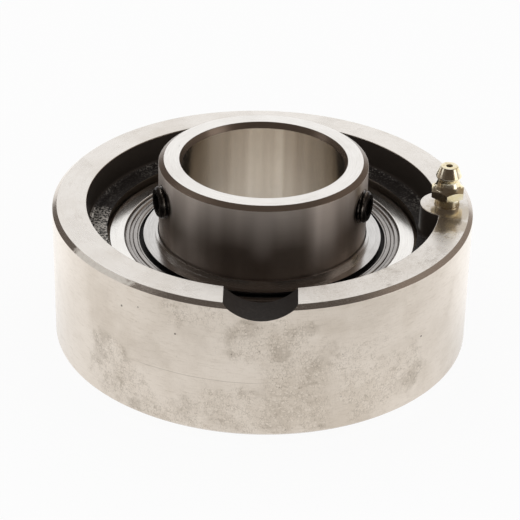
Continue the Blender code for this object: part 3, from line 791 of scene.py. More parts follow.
SPECK_BROWN = tint(52, 46, 42)
"""Colour of the specks on ground steel."""


@dataclass(frozen=True)
class Finish:
    """A surface finish.

    Args:
        name: Name of its material.
    """

    name: str

    def material(self) -> bpy.types.Material:
        """Build the finish once and return its material."""
        made = bpy.data.materials.get(self.name)
        if made is not None:
            return made
        made = bpy.data.materials.new(self.name)
        made.use_nodes = True
        graph = Graph(made.node_tree)
        shader = made.node_tree.nodes["Principled BSDF"]
        position = graph.add("ShaderNodeTexCoord").outputs["Object"]
        self.shade(graph, shader, position)
        return made

    def shade(self, graph: Graph, shader: bpy.types.Node, position: Value) -> None:
        """Wire the finish into its shader.

        Args:
            graph: The material's nodes.
            shader: Its Principled BSDF.
            position: Place on the unit.
        """
        raise NotImplementedError

    def bump(self, graph: Graph, shader: bpy.types.Node, height: Value, depth: float) -> None:
        """Feed a height map into the shader's normal.

        Args:
            graph: The material's nodes.
            shader: Its Principled BSDF.
            height: The height map.
            depth: What a height of 1 comes to, in metres.
        """
        node = graph.add("ShaderNodeBump", {"Height": height, "Distance": depth})
        graph.feed(shader.inputs["Normal"], node.outputs[0])


@dataclass(frozen=True)
class Spot:
    """A place on the cartridge that is stained, scuffed, rubbed or greased, or that has a pore.

    Args:
        azimuth: Degrees round the shaft from +X.
        height: Height above the standing plane.
        reach: How far the spot reaches.
        radius: Distance of its middle from the shaft axis.
    """

    azimuth: float
    height: float
    reach: float
    radius: float = DRUM_RADIUS

    def centre(self) -> tuple[float, float, float]:
        """Return the spot's middle."""
        angle = math.radians(self.azimuth)
        return (self.radius * math.cos(angle), self.radius * math.sin(angle), self.height)


def patched(graph: Graph, position: Value, spots: Sequence[Spot]) -> Value:
    """Return the mask of several ragged patches together.

    Args:
        graph: The material's nodes.
        position: Place on the unit.
        spots: Where the patches are.

    Returns:
        A mask that is 1 in the middle of each patch.
    """
    if not spots:
        return 0.0
    ragged = graph.noise(position, 210.0, 3.0, 0.6)
    mask: Value = 0.0
    for spot in spots:
        here = graph.group(soft_patch(), {"Position": position, "Centre": spot.centre(),
                                          "Reach": spot.reach, "Ragged": ragged})
        mask = graph.maths("MAXIMUM", mask, here.outputs["Mask"])
    return mask


@dataclass(frozen=True)
class RingScratch:
    """A scratch that runs part of the way round the front of the cartridge's outside.

    Args:
        height: Height above the standing plane.
        middle: Direction of its middle as X over the drum's radius.
        half: Half of its length in the same measure.
        width: How far it reaches to each side of its line.
        wander: How far its line strays up or down.
    """

    height: float
    middle: float
    half: float
    width: float = 0.00012
    wander: float = 0.00045

    def mask(self, graph: Graph, position: Value) -> Value:
        """Return the mask of the scratch.

        Args:
            graph: The material's nodes.
            position: Place on the unit.

        Returns:
            A mask that is 1 on the scratch's line.
        """
        x, y, z = graph.parts(position)
        strayed = graph.maths("ADD", z, graph.maths("MULTIPLY", graph.noise(position, 40.0),
                                                    2 * self.wander))
        off = graph.maths("ABSOLUTE", graph.maths("SUBTRACT", strayed, self.height + self.wander))
        line = graph.ease(off, 0.0, self.width, 1.0, 0.0)
        along = graph.maths("ABSOLUTE", graph.maths("SUBTRACT", x, self.middle * DRUM_RADIUS))
        reach = self.half * DRUM_RADIUS
        window = graph.ease(along, reach * 0.6, reach, 1.0, 0.0)
        in_front = graph.maths("LESS_THAN", y, 0.0)
        return graph.maths("MULTIPLY", graph.maths("MULTIPLY", line, window), in_front)


@dataclass(frozen=True)
class TurnedIron(Finish):
    """Turned grey iron with tool marks, an uneven brown film, pores and stray scratches.

    Args:
        pale: Colour of clean iron.
        grey: Colour of iron in the tool marks and in the haze.
        stain: Colour of dried oil and of scratches.
        pore: Colour inside a pore.
        roughness: Mean roughness of clean iron.
        patches: Places where the film is strong.
        pores: Pores that have a place of their own.
        scratch: A long scratch round the drum.
        film: How strong the film is between the patches.
        relief: Depth of the tool marks.
        metallic: How metallic the clean iron is.
        lace: How strong the rims of dried drops are.
        drop: Size of a dried drop.
        pit_share: Share of cells that have a fine pit.
        oiled: Weight of a thin clear coat of oil.
        scuff_highlight_colour: Pale colour of scuffing, which also serves as a painted highlight on
            the chamfer.
        scuff_highlight_spots: Places of scuffing, partly a painted highlight where the chamfer catches
            light.
        grease: Darker colour painted round the fitting's foot, a painted reflection of the fitting.
        glossy_reflection_spots: Places that are made glossier and darkened by that painted reflection.
    """

    pale: Colour
    grey: Colour
    stain: Colour
    pore: Colour
    roughness: float
    patches: tuple[Spot, ...] = ()
    pores: tuple[Spot, ...] = ()
    scratch: RingScratch | None = None
    film: float = 0.2
    relief: float = 0.000012
    metallic: float = 0.8
    lace: float = 0.34
    drop: float = 0.00075
    pit_share: float = 0.16
    oiled: float = 0.0
    scuff_highlight_colour: Colour = (0.7, 0.66, 0.6, 1.0)
    scuff_highlight_spots: tuple[Spot, ...] = ()
    grease: Colour = (0.4, 0.36, 0.3, 1.0)
    glossy_reflection_spots: tuple[Spot, ...] = ()

    def bare_iron(self, graph: Graph, position: Value, marks: bpy.types.Node,
                  worked: Value) -> Value:
        """Return the colour of iron with nothing on it.

        Args:
            graph: The material's nodes.
            position: Place on the unit.
            marks: The tool marks.
            worked: How strong the film is here.

        Returns:
            Its colour, greyer in the tool marks and in a broad haze.
        """
        haze = graph.maths("MULTIPLY_ADD", worked, 0.05, graph.noise(position, 55.0, 5.0, 0.6))
        colour = graph.mix(graph.ease(haze, 0.4, 0.72, 0.0, 0.5), self.pale, self.grey)
        colour = graph.mix(graph.ease(marks.outputs["Fine"], 0.5, 0.76, 0.0, 0.4), colour, self.grey)
        return graph.mix(graph.ease(marks.outputs["Broad"], 0.5, 0.8, 0.0, 0.2), colour, self.grey)

    def dried_oil(self, graph: Graph, position: Value, colour: Value, film: bpy.types.Node,
                  worked: Value) -> Value:
        """Return the colour of iron with marks of dried oil on it.

        Args:
            graph: The material's nodes.
            position: Place on the unit.
            colour: Its colour without them.
            film: The film's clouds and drops.
            worked: How strong the film is here.

        Returns:
            The colour, with brown dashes, bright drops and the dark rims of drops.
        """
        ticks = graph.group(turning_marks(), {"Position": position, "Pitch": 0.0006,
                                              "Length": 0.004})
        dashes = graph.maths("MULTIPLY", graph.ease(ticks.outputs["Fine"], 0.54, 0.66), worked)
        colour = graph.lay(colour, self.stain, dashes, 0.3)
        strong = graph.maths("POWER", worked, 1.5)
        clear = graph.maths("MULTIPLY", film.outputs["Clear"], strong)
        colour = graph.lay(colour, self.pale, clear, 1.4 * self.lace)
        lace = graph.maths("MULTIPLY", film.outputs["Lace"], strong)
        return graph.lay(colour, self.stain, lace, self.lace)

    def specks(self, graph: Graph, position: Value, worked: Value) -> Value:
        """Return the mask of all pores.

        Args:
            graph: The material's nodes.
            position: Place on the unit.
            worked: How strong the film is here, which shows up fine pits.

        Returns:
            A mask of scattered fine pits and of the pores that have a place of their own.
        """
        fine = graph.group(pits(), {"Position": position, "Spacing": 0.0016,
                                    "Share": self.pit_share, "Radius": 0.00016})
        mask = graph.maths("MULTIPLY", fine.outputs["Mask"],
                           graph.maths("MULTIPLY_ADD", worked, 0.6, 0.05))
        for pore in self.pores:
            away = graph.vector("DISTANCE", position, pore.centre()).outputs[1]
            mask = graph.maths("MAXIMUM", mask,
                               graph.ease(away, pore.reach * 0.5, pore.reach, 1.0, 0.0))
        return mask

    def shade(self, graph: Graph, shader: bpy.types.Node, position: Value) -> None:
        """Wire marks, film, pores and scratches into the shader, with pale scuffing that is partly a
        painted highlight, and a darker colour that is a painted reflection of the fitting.

        Args:
            graph: The material's nodes.
            shader: Its Principled BSDF.
            position: Place on the unit.
        """
        marks = graph.group(turning_marks(), {"Position": position, "Pitch": 0.00042,
                                              "Length": 0.05})
        film = graph.group(stain_film(), {"Position": position, "Drop": self.drop})
        scratches = graph.group(hairlines(), {"Position": position, "Size": 0.011, "Share": 0.5})
        worked = graph.maths("MULTIPLY_ADD", patched(graph, position, self.patches),
                             1.0 - self.film, self.film)
        cloud = graph.maths("MULTIPLY", film.outputs["Film"], worked)
        specks = self.specks(graph, position, worked)
        colour = self.bare_iron(graph, position, marks, worked)
        colour = graph.lay(colour, self.stain, cloud, 0.26)
        colour = self.dried_oil(graph, position, colour, film, worked)
        colour = graph.lay(colour, self.stain, scratches.outputs["Mask"], 0.2)
        if self.scratch is not None:
            colour = graph.lay(colour, self.stain, self.scratch.mask(graph, position), 0.45)
        colour = graph.lay(colour, self.pore, specks, 0.85)
        metal: Value = self.metallic
        rough = graph.maths("MULTIPLY_ADD", marks.outputs["Fine"], 0.14, self.roughness - 0.07)
        rough = graph.maths("MULTIPLY_ADD", cloud, 0.1, rough)
        # pale scuffing, partly a painted highlight: the chamfer is painted pale and less metallic
        # where it catches light
        if self.scuff_highlight_spots:
            grain = graph.noise(position, 1500.0, 3.0, 0.7)
            scuff_and_highlight = graph.ease(graph.maths("MULTIPLY_ADD", grain, 1.6,
                                           patched(graph, position, self.scuff_highlight_spots)), 0.85, 1.95)
            colour = graph.mix(scuff_and_highlight, colour, self.scuff_highlight_colour)
            metal = graph.maths("MULTIPLY_ADD", scuff_and_highlight, -0.8 * self.metallic, metal)
            rough = graph.maths("MULTIPLY_ADD", scuff_and_highlight, 0.35, rough)
        # painted reflection: these spots are darkened to stand for the fitting's reflection in the
        # face, and made glossier
        if self.glossy_reflection_spots:
            gloss_and_reflection = patched(graph, position, self.glossy_reflection_spots)
            colour = graph.lay(colour, self.grease, gloss_and_reflection, 0.75)
            metal = graph.maths("MULTIPLY_ADD", gloss_and_reflection, 0.92 - self.metallic, metal)
            rough = graph.maths("MULTIPLY_ADD", gloss_and_reflection, -0.08, rough)
        graph.feed(shader.inputs["Base Color"], colour)
        graph.feed(shader.inputs["Metallic"], metal)
        graph.feed(shader.inputs["Roughness"], rough)
        shader.inputs["Coat Weight"].default_value = self.oiled
        shader.inputs["Coat Roughness"].default_value = 0.16
        height = graph.maths("SUBTRACT", marks.outputs["Fine"], graph.maths("MULTIPLY", specks, 2.0))
        self.bump(graph, shader, height, self.relief)


@dataclass(frozen=True)
class CastSkin(Finish):
    """Dark cast skin, with a grain whose crests are painted bright in places: rubbed crests and
    painted glints.

    Args:
        dark: Colour of the skin.
        worn_and_glint: Colour of the bright crests, rubbed and partly a painted glint.
        roughness: Roughness of the skin.
        grain: Size of a grain.
        relief: Depth of the grain.
        glint: How bright the painted crests are between the rubbed places.
        rubbed_glint_spots: Places that are rubbed, chosen where the floor catches light: partly
            painted glints.
    """

    dark: Colour
    worn_and_glint: Colour
    roughness: float
    grain: float = 0.00055
    relief: float = 0.00022
    glint: float = 1.0
    rubbed_glint_spots: tuple[Spot, ...] = ()

    def shade(self, graph: Graph, shader: bpy.types.Node, position: Value) -> None:
        """Wire grain and bright crests, rubbed and partly painted glints, into the shader.

        Args:
            graph: The material's nodes.
            shader: Its Principled BSDF.
            position: Place on the unit.
        """
        coarse = graph.noise(position, 1.0 / self.grain, 2.0, 0.55)
        swell = graph.noise(position, 0.3 / self.grain, 3.0, 0.6)
        broad = graph.noise(position, 70.0, 2.0)
        # painted glints: crests are painted bright, most at the rubbed places where the floor catches
        # light
        rub_and_glint = patched(graph, position, self.rubbed_glint_spots)
        height = graph.maths("MULTIPLY_ADD", swell, 0.35, coarse)
        low = graph.maths("MULTIPLY_ADD", rub_and_glint, -0.07, 0.72)
        crest = graph.ease(height, low, graph.maths("ADD", low, 0.05))
        share = graph.ease(broad, 0.38, 0.62, 0.08 * self.glint, 0.3 * self.glint)
        worn_and_glint = graph.maths("MULTIPLY", crest, graph.maths("MAXIMUM", share, rub_and_glint))
        graph.feed(shader.inputs["Base Color"], graph.mix(worn_and_glint, self.dark, self.worn_and_glint))
        graph.feed(shader.inputs["Metallic"], graph.maths("MULTIPLY_ADD", worn_and_glint, 0.3, 0.2))
        graph.feed(shader.inputs["Roughness"], graph.maths("MULTIPLY_ADD", worn_and_glint, -0.2, self.roughness))
        flat = graph.maths("MINIMUM", height, graph.maths("ADD", low, 0.02))
        self.bump(graph, shader, flat, self.relief)


@dataclass(frozen=True)
class GroundSteel(Finish):
    """Ground and polished steel, with faint marks round the shaft axis and stray specks.

    Args:
        pale: Colour between the grinding marks.
        grey: Colour of the marks, smears, bands and scratches.
        roughness: About its mean roughness.
        anisotropy: How far highlights are drawn out along the shaft.
        pitch: Spacing of the marks.
        length: Length of a mark.
        relief: Depth of the marks.
        streak: How strong marks and smears are.
        speck_share: Share of cells that have a dark speck.
        scratched: How strong the stray scratches are.
        metallic: How metallic the steel is.
        bands: How strong the soft bands along the shaft are.
    """

    pale: Colour
    grey: Colour
    roughness: float
    anisotropy: float = 0.0
    pitch: float = 0.0003
    length: float = 0.2
    relief: float = 0.000004
    streak: float = 0.5
    speck_share: float = 0.02
    scratched: float = 0.3
    metallic: float = 1.0
    bands: float = 0.0

    def shade(self, graph: Graph, shader: bpy.types.Node, position: Value) -> None:
        """Wire grinding marks, bands, scratches and specks into the shader.

        Args:
            graph: The material's nodes.
            shader: Its Principled BSDF.
            position: Place on the unit.
        """
        marks = graph.group(turning_marks(), {"Position": position, "Pitch": self.pitch,
                                              "Length": self.length})
        specks = graph.group(pits(), {"Position": position, "Spacing": 0.0021,
                                      "Share": self.speck_share, "Radius": 0.00016})
        scratches = graph.group(hairlines(), {"Position": position, "Size": 0.008, "Share": 0.4})
        smear = graph.noise(position, 60.0, 3.0, 0.6)
        lines = graph.ease(marks.outputs["Fine"], 0.35, 0.75, 0.0, self.streak)
        colour = graph.mix(lines, self.pale, self.grey)
        colour = graph.mix(graph.ease(smear, 0.45, 0.75, 0.0, self.streak), colour, self.grey)
        if self.bands:
            flat = graph.vector("MULTIPLY", position, (1.0, 1.0, 0.0)).outputs[0]
            round_shaft = graph.vector("NORMALIZE", flat).outputs[0]
            band = graph.noise(round_shaft, 3.4, 2.0)
            colour = graph.mix(graph.ease(band, 0.32, 0.66, 0.0, self.bands), colour, self.grey)
        colour = graph.lay(colour, self.grey, scratches.outputs["Mask"], self.scratched)
        colour = graph.lay(colour, SPECK_BROWN, specks.outputs["Mask"], 0.8)
        graph.feed(shader.inputs["Base Color"], colour)
        shader.inputs["Metallic"].default_value = self.metallic
        rough = graph.maths("MULTIPLY_ADD", marks.outputs["Broad"], 0.2 * self.streak,
                            self.roughness - 0.05)
        rough = graph.maths("MULTIPLY_ADD", smear, 0.06, rough)
        graph.feed(shader.inputs["Roughness"], rough)
        if self.anisotropy:
            shader.inputs["Anisotropic"].default_value = self.anisotropy
            shader.inputs["Anisotropic Rotation"].default_value = 0.25
            tangent = graph.add("ShaderNodeTangent", direction_type="RADIAL", axis="Z")
            graph.feed(shader.inputs["Tangent"], tangent.outputs[0])
        if self.relief:
            self.bump(graph, shader, marks.outputs["Fine"], self.relief)


@dataclass(frozen=True)
class Rubber(Finish):
    """Black moulded rubber with a dusty film.

    Args:
        dark: Colour of the rubber.
        dusty: Colour of its dust.
    """

    dark: Colour
    dusty: Colour

    def shade(self, graph: Graph, shader: bpy.types.Node, position: Value) -> None:
        """Wire dust and a fine grain into the shader.

        Args:
            graph: The material's nodes.
            shader: Its Principled BSDF.
            position: Place on the unit.
        """
        dust = graph.noise(position, 400.0, 4.0, 0.65)
        colour = graph.mix(graph.ease(dust, 0.45, 0.75), self.dark, self.dusty)
        graph.feed(shader.inputs["Base Color"], colour)
        graph.feed(shader.inputs["Roughness"], graph.maths("MULTIPLY_ADD", dust, 0.3, 0.45))
        self.bump(graph, shader, graph.noise(position, 6000.0, 2.0), 0.00001)


@dataclass(frozen=True)
class DarkScrew(Finish):
    """Black oxide on a screw, painted bright along its thread crests: rubbed crests and painted
    glints.

    Args:
        azimuth: Direction in degrees that the screw's axis points in.
        level: Height of the screw's axis.
        crest: Radius of the thread's crests.
        dark: Colour of the oxide.
        bright: Colour of the bright crests, rubbed and partly a painted glint.
    """

    azimuth: float
    level: float
    crest: float
    dark: Colour
    bright: Colour

    def shade(self, graph: Graph, shader: bpy.types.Node, position: Value) -> None:
        """Wire oxide and bright crests, rubbed and partly painted glints, into the shader.

        Args:
            graph: The material's nodes.
            shader: Its Principled BSDF.
            position: Place on the unit.
        """
        lowered = graph.add("ShaderNodeMapping", {
            "Vector": position, "Location": (0.0, 0.0, -self.level)}).outputs[0]
        turned_back = graph.add("ShaderNodeMapping", {
            "Vector": lowered, "Rotation": (0.0, 0.0, -math.radians(self.azimuth))}).outputs[0]
        across = graph.vector("MULTIPLY", turned_back, (0.0, 1.0, 1.0)).outputs[0]
        radius = graph.vector("LENGTH", across).outputs[1]
        # painted glints: the thread crests are painted bright in patches
        crest = graph.ease(radius, self.crest - 0.0003, self.crest - 0.00005)
        patchy = graph.ease(graph.noise(position, 900.0, 3.0, 0.6), 0.42, 0.6)
        worn_and_glint = graph.maths("MULTIPLY", crest, patchy)
        graph.feed(shader.inputs["Base Color"], graph.mix(worn_and_glint, self.dark, self.bright))
        shader.inputs["Metallic"].default_value = 0.9
        graph.feed(shader.inputs["Roughness"], graph.maths("MULTIPLY_ADD", worn_and_glint, -0.15, 0.36))
        self.bump(graph, shader, graph.noise(position, 2500.0, 2.0), 0.00001)


@dataclass(frozen=True)
class ZincPlate(Finish):
    """Pale yellow zinc plating with cloudy passivation and a few dull spots.

    Args:
        gold: Colour where the passivation is thick.
        silver: Colour where it is thin.
        dull: Colour of the dull spots.
    """

    gold: Colour
    silver: Colour
    dull: Colour

    def shade(self, graph: Graph, shader: bpy.types.Node, position: Value) -> None:
        """Wire clouds and dull spots into the shader.

        Args:
            graph: The material's nodes.
            shader: Its Principled BSDF.
            position: Place on the unit.
        """
        cloud = graph.noise(position, 260.0, 3.0, 0.55, 0.4)
        spots = graph.noise(position, 900.0, 3.0, 0.6)
        colour = graph.mix(graph.ease(cloud, 0.35, 0.65), self.gold, self.silver)
        colour = graph.mix(graph.ease(spots, 0.58, 0.75, 0.0, 0.6), colour, self.dull)
        graph.feed(shader.inputs["Base Color"], colour)
        shader.inputs["Metallic"].default_value = 1.0
        graph.feed(shader.inputs["Roughness"], graph.maths("MULTIPLY_ADD", spots, 0.12, 0.13))
        self.bump(graph, shader, spots, 0.000012)


IRON = TurnedIron(
    "turned_iron", pale=tint(236, 225, 212), grey=tint(199, 185, 167), stain=tint(132, 117, 96),
    pore=PORE_BROWN, roughness=0.33, oiled=0.6,
    patches=(
        Spot(azimuth=-137.0, height=0.0172, reach=0.005),
        Spot(azimuth=-131.6, height=0.0146, reach=0.007),
        Spot(azimuth=-132.2, height=0.0110, reach=0.010),
        Spot(azimuth=-126.5, height=0.0087, reach=0.010),
        Spot(azimuth=-122.6, height=0.0056, reach=0.009),
        Spot(azimuth=-114.9, height=0.0046, reach=0.008),
        Spot(azimuth=-107.8, height=0.0052, reach=0.008),
        Spot(azimuth=-99.3, height=0.0100, reach=0.009),
        Spot(azimuth=-93.3, height=0.0086, reach=0.009),
        Spot(azimuth=-85.6, height=0.0073, reach=0.009),
        Spot(azimuth=-77.8, height=0.0090, reach=0.009),
        Spot(azimuth=-110.6, height=0.0348, reach=0.006),
        Spot(azimuth=-103.2, height=0.0350, reach=0.006),
        Spot(azimuth=-93.4, height=0.0288, reach=0.008),
        Spot(azimuth=-84.0, height=0.0276, reach=0.010),
        Spot(azimuth=-79.5, height=0.0214, reach=0.011),
        Spot(azimuth=-82.0, height=0.0160, reach=0.009),
        Spot(azimuth=-63.1, height=0.0187, reach=0.010),
        Spot(azimuth=-55.1, height=0.0130, reach=0.010),
        Spot(azimuth=-61.2, height=0.0107, reach=0.008),
        Spot(azimuth=-48.3, height=0.0144, reach=0.008),
        Spot(azimuth=20, height=0.026, reach=0.014),
        Spot(azimuth=62, height=0.014, reach=0.015),
        Spot(azimuth=104, height=0.024, reach=0.012),
        Spot(azimuth=158, height=0.012, reach=0.014),
    ),
    pores=(
        Spot(azimuth=-128.3, height=0.0308, reach=0.00034),
        Spot(azimuth=-122.9, height=0.0322, reach=0.00022),
        Spot(azimuth=-112.0, height=0.0280, reach=0.00030),
        Spot(azimuth=-42.7, height=0.0209, reach=0.00034),
        Spot(azimuth=35.0, height=0.0160, reach=0.00030),
        Spot(azimuth=140.0, height=0.0250, reach=0.00026),
    ),
    scratch=RingScratch(height=0.0173, middle=-0.28, half=0.34))
FACED_IRON = TurnedIron(
    "faced_iron", pale=tint(250, 245, 239), grey=tint(222, 213, 202), stain=tint(140, 126, 106),
    pore=PORE_BROWN, roughness=0.25, film=0.2, relief=0.000004, lace=0.22, pit_share=0.5,
    metallic=0.68,
    patches=(
        Spot(azimuth=-70, height=0.0378, reach=0.009, radius=0.0475),
        Spot(azimuth=-58, height=0.0378, reach=0.009, radius=0.0475),
        Spot(azimuth=-46, height=0.0378, reach=0.010, radius=0.0472),
        Spot(azimuth=-36, height=0.0378, reach=0.009, radius=0.0470),
        Spot(azimuth=200, height=0.0024, reach=0.010, radius=0.0480),
    ),
    # the darker colour at these spots is a painted reflection of the grease fitting
    grease=tint(184, 171, 152),
    glossy_reflection_spots=(
        Spot(azimuth=-5, height=0.0378, reach=0.0085, radius=0.0460),
        Spot(azimuth=-14, height=0.0378, reach=0.0070, radius=0.0462),
    ))
CHAMFER_IRON = TurnedIron(
    "turned_iron_chamfer", pale=tint(212, 202, 192), grey=tint(196, 186, 174),
    stain=tint(140, 124, 108), pore=PORE_BROWN, roughness=0.18, film=0.1, relief=0.000001,
    metallic=0.9, scuff_highlight_colour=tint(236, 229, 219),
    # these pale patches at the left front are partly a painted highlight on the chamfer
    scuff_highlight_spots=(
        Spot(azimuth=-143, height=0.0374, reach=0.0068, radius=0.0516),
        Spot(azimuth=-138, height=0.0374, reach=0.0080, radius=0.0516),
        Spot(azimuth=-132, height=0.0374, reach=0.0072, radius=0.0516),
        Spot(azimuth=70, height=0.0374, reach=0.0060, radius=0.0516),
    ))
# painted shade: the bored seat's iron is given dark colours, standing for the shade between cartridge
# and outer ring
PAINTED_SHADE_SEAT_IRON = TurnedIron(
    "bored_iron_seat_painted_shade", pale=tint(120, 110, 100), grey=tint(96, 88, 80),
    stain=tint(84, 74, 66), pore=PORE_BROWN, roughness=0.3, film=0.15, relief=0.000002)
CAST_SKIN = CastSkin(
    "black_cast_skin", dark=tint(42, 36, 33), worn_and_glint=tint(204, 198, 189), roughness=0.5,
    # rubbed places at the left front are partly painted glints where the recess floor catches light
    rubbed_glint_spots=(
        Spot(azimuth=176, height=0.0300, reach=0.0070, radius=0.0410),
        Spot(azimuth=-173, height=0.0298, reach=0.0076, radius=0.0396),
        Spot(azimuth=-166, height=0.0296, reach=0.0065, radius=0.0388),
        Spot(azimuth=-33, height=0.0304, reach=0.006, radius=0.0425),
        Spot(azimuth=57, height=0.0308, reach=0.003, radius=0.0432),
    ))
SMOOTH_SKIN = CastSkin("black_smooth_skin", dark=tint(56, 49, 43), worn_and_glint=tint(78, 71, 65),
                       roughness=0.42, relief=0.00003, glint=0.3)
NOTCH_SKIN = CastSkin("black_notch_skin", dark=tint(47, 42, 39), worn_and_glint=tint(96, 88, 80),
                      roughness=0.55, relief=0.00006, glint=0.5)
RING_FACE = GroundSteel("ground_ring_face", pale=tint(250, 247, 243), grey=tint(228, 223, 217),
                        roughness=0.16, speck_share=0.06, metallic=0.86)
# painted light: a lighter copy of the ring-face steel, brightened against the shade of the recess
OUTER_FACE = GroundSteel("ground_outer_ring_face", pale=tint(255, 253, 249),
                         grey=tint(242, 238, 233), roughness=0.14, speck_share=0.06)
RING_SIDE = GroundSteel("ground_ring_side", pale=tint(222, 211, 202), grey=tint(164, 152, 143),
                        roughness=0.36, anisotropy=0.93, length=0.6, speck_share=0.004,
                        relief=0.0, streak=0.08, scratched=0.0, bands=0.6)
BORE_STEEL = GroundSteel("honed_bore", pale=tint(255, 249, 240), grey=tint(212, 201, 188),
                         roughness=0.2, anisotropy=0.92, length=0.6, speck_share=0.0,
                         relief=0.0, streak=0.06, scratched=0.0, bands=0.55)
SCALE_STEEL = GroundSteel("hardened_ring_chamfer", pale=tint(122, 106, 93), grey=tint(100, 86, 75),
                          roughness=0.26, length=0.6, relief=0.000001, streak=0.3, metallic=0.62)
RACE_STEEL = GroundSteel("polished_raceway", pale=tint(214, 210, 206), grey=tint(190, 186, 182),
                         roughness=0.12)
SEAL_STEEL = GroundSteel("pressed_seal_steel", pale=tint(188, 184, 181), grey=tint(136, 132, 128),
                         roughness=0.2, pitch=0.0005, relief=0.00001, speck_share=0.03)
SLINGER_STEEL = GroundSteel("bright_slinger_steel", pale=tint(222, 220, 218),
                            grey=tint(188, 185, 182), roughness=0.16, pitch=0.0005,
                            speck_share=0.08)
CAGE_STEEL = GroundSteel("pressed_cage_steel", pale=tint(190, 186, 182), grey=tint(150, 146, 142),
                         roughness=0.32, relief=0.00001)
LIP_RUBBER = Rubber("black_lip_rubber", dark=tint(22, 21, 21), dusty=tint(48, 46, 45))
PLATING = ZincPlate("yellow_zinc_plating", gold=tint(240, 224, 180), silver=tint(250, 243, 222),
                    dull=tint(158, 134, 90))


Span = tuple[float, float]
"""A stretch, given by its lower and its upper end."""


@dataclass(frozen=True)
class Softbox:
    """A rectangular soft light.

    Args:
        name: Name of its lamp.
        place: Where it hangs.
        length: Its length.
        width: Its width.
        level: How bright its cloth is, where 1 is paper white.
        along: The direction that its length runs in.
    """

    name: str
    place: tuple[float, float, float]
    length: float
    width: float
    level: float
    along: tuple[float, float, float] = (0.0, 0.0, 1.0)

    def hang(self, aim: Vector) -> None:
        """Hang the light.

        Args:
            aim: The point that it looks at.
        """
        light = bpy.data.lights.new(self.name, "AREA")
        light.shape = "RECTANGLE"
        light.size = self.length
        light.size_y = self.width
        light.energy = self.level * math.pi * self.length * self.width
        place_in_room = Vector(self.place)
        back = (place_in_room - aim).normalized()
        along = Vector(self.along)
        side = (along - back * along.dot(back)).normalized()
        axes = Matrix((side, back.cross(side), back)).transposed().to_4x4()
        lamp = bpy.data.objects.new(self.name, light)
        lamp.visible_camera = False
        bpy.context.scene.collection.objects.link(lamp)
        lamp.matrix_world = Matrix.Translation(place_in_room) @ axes


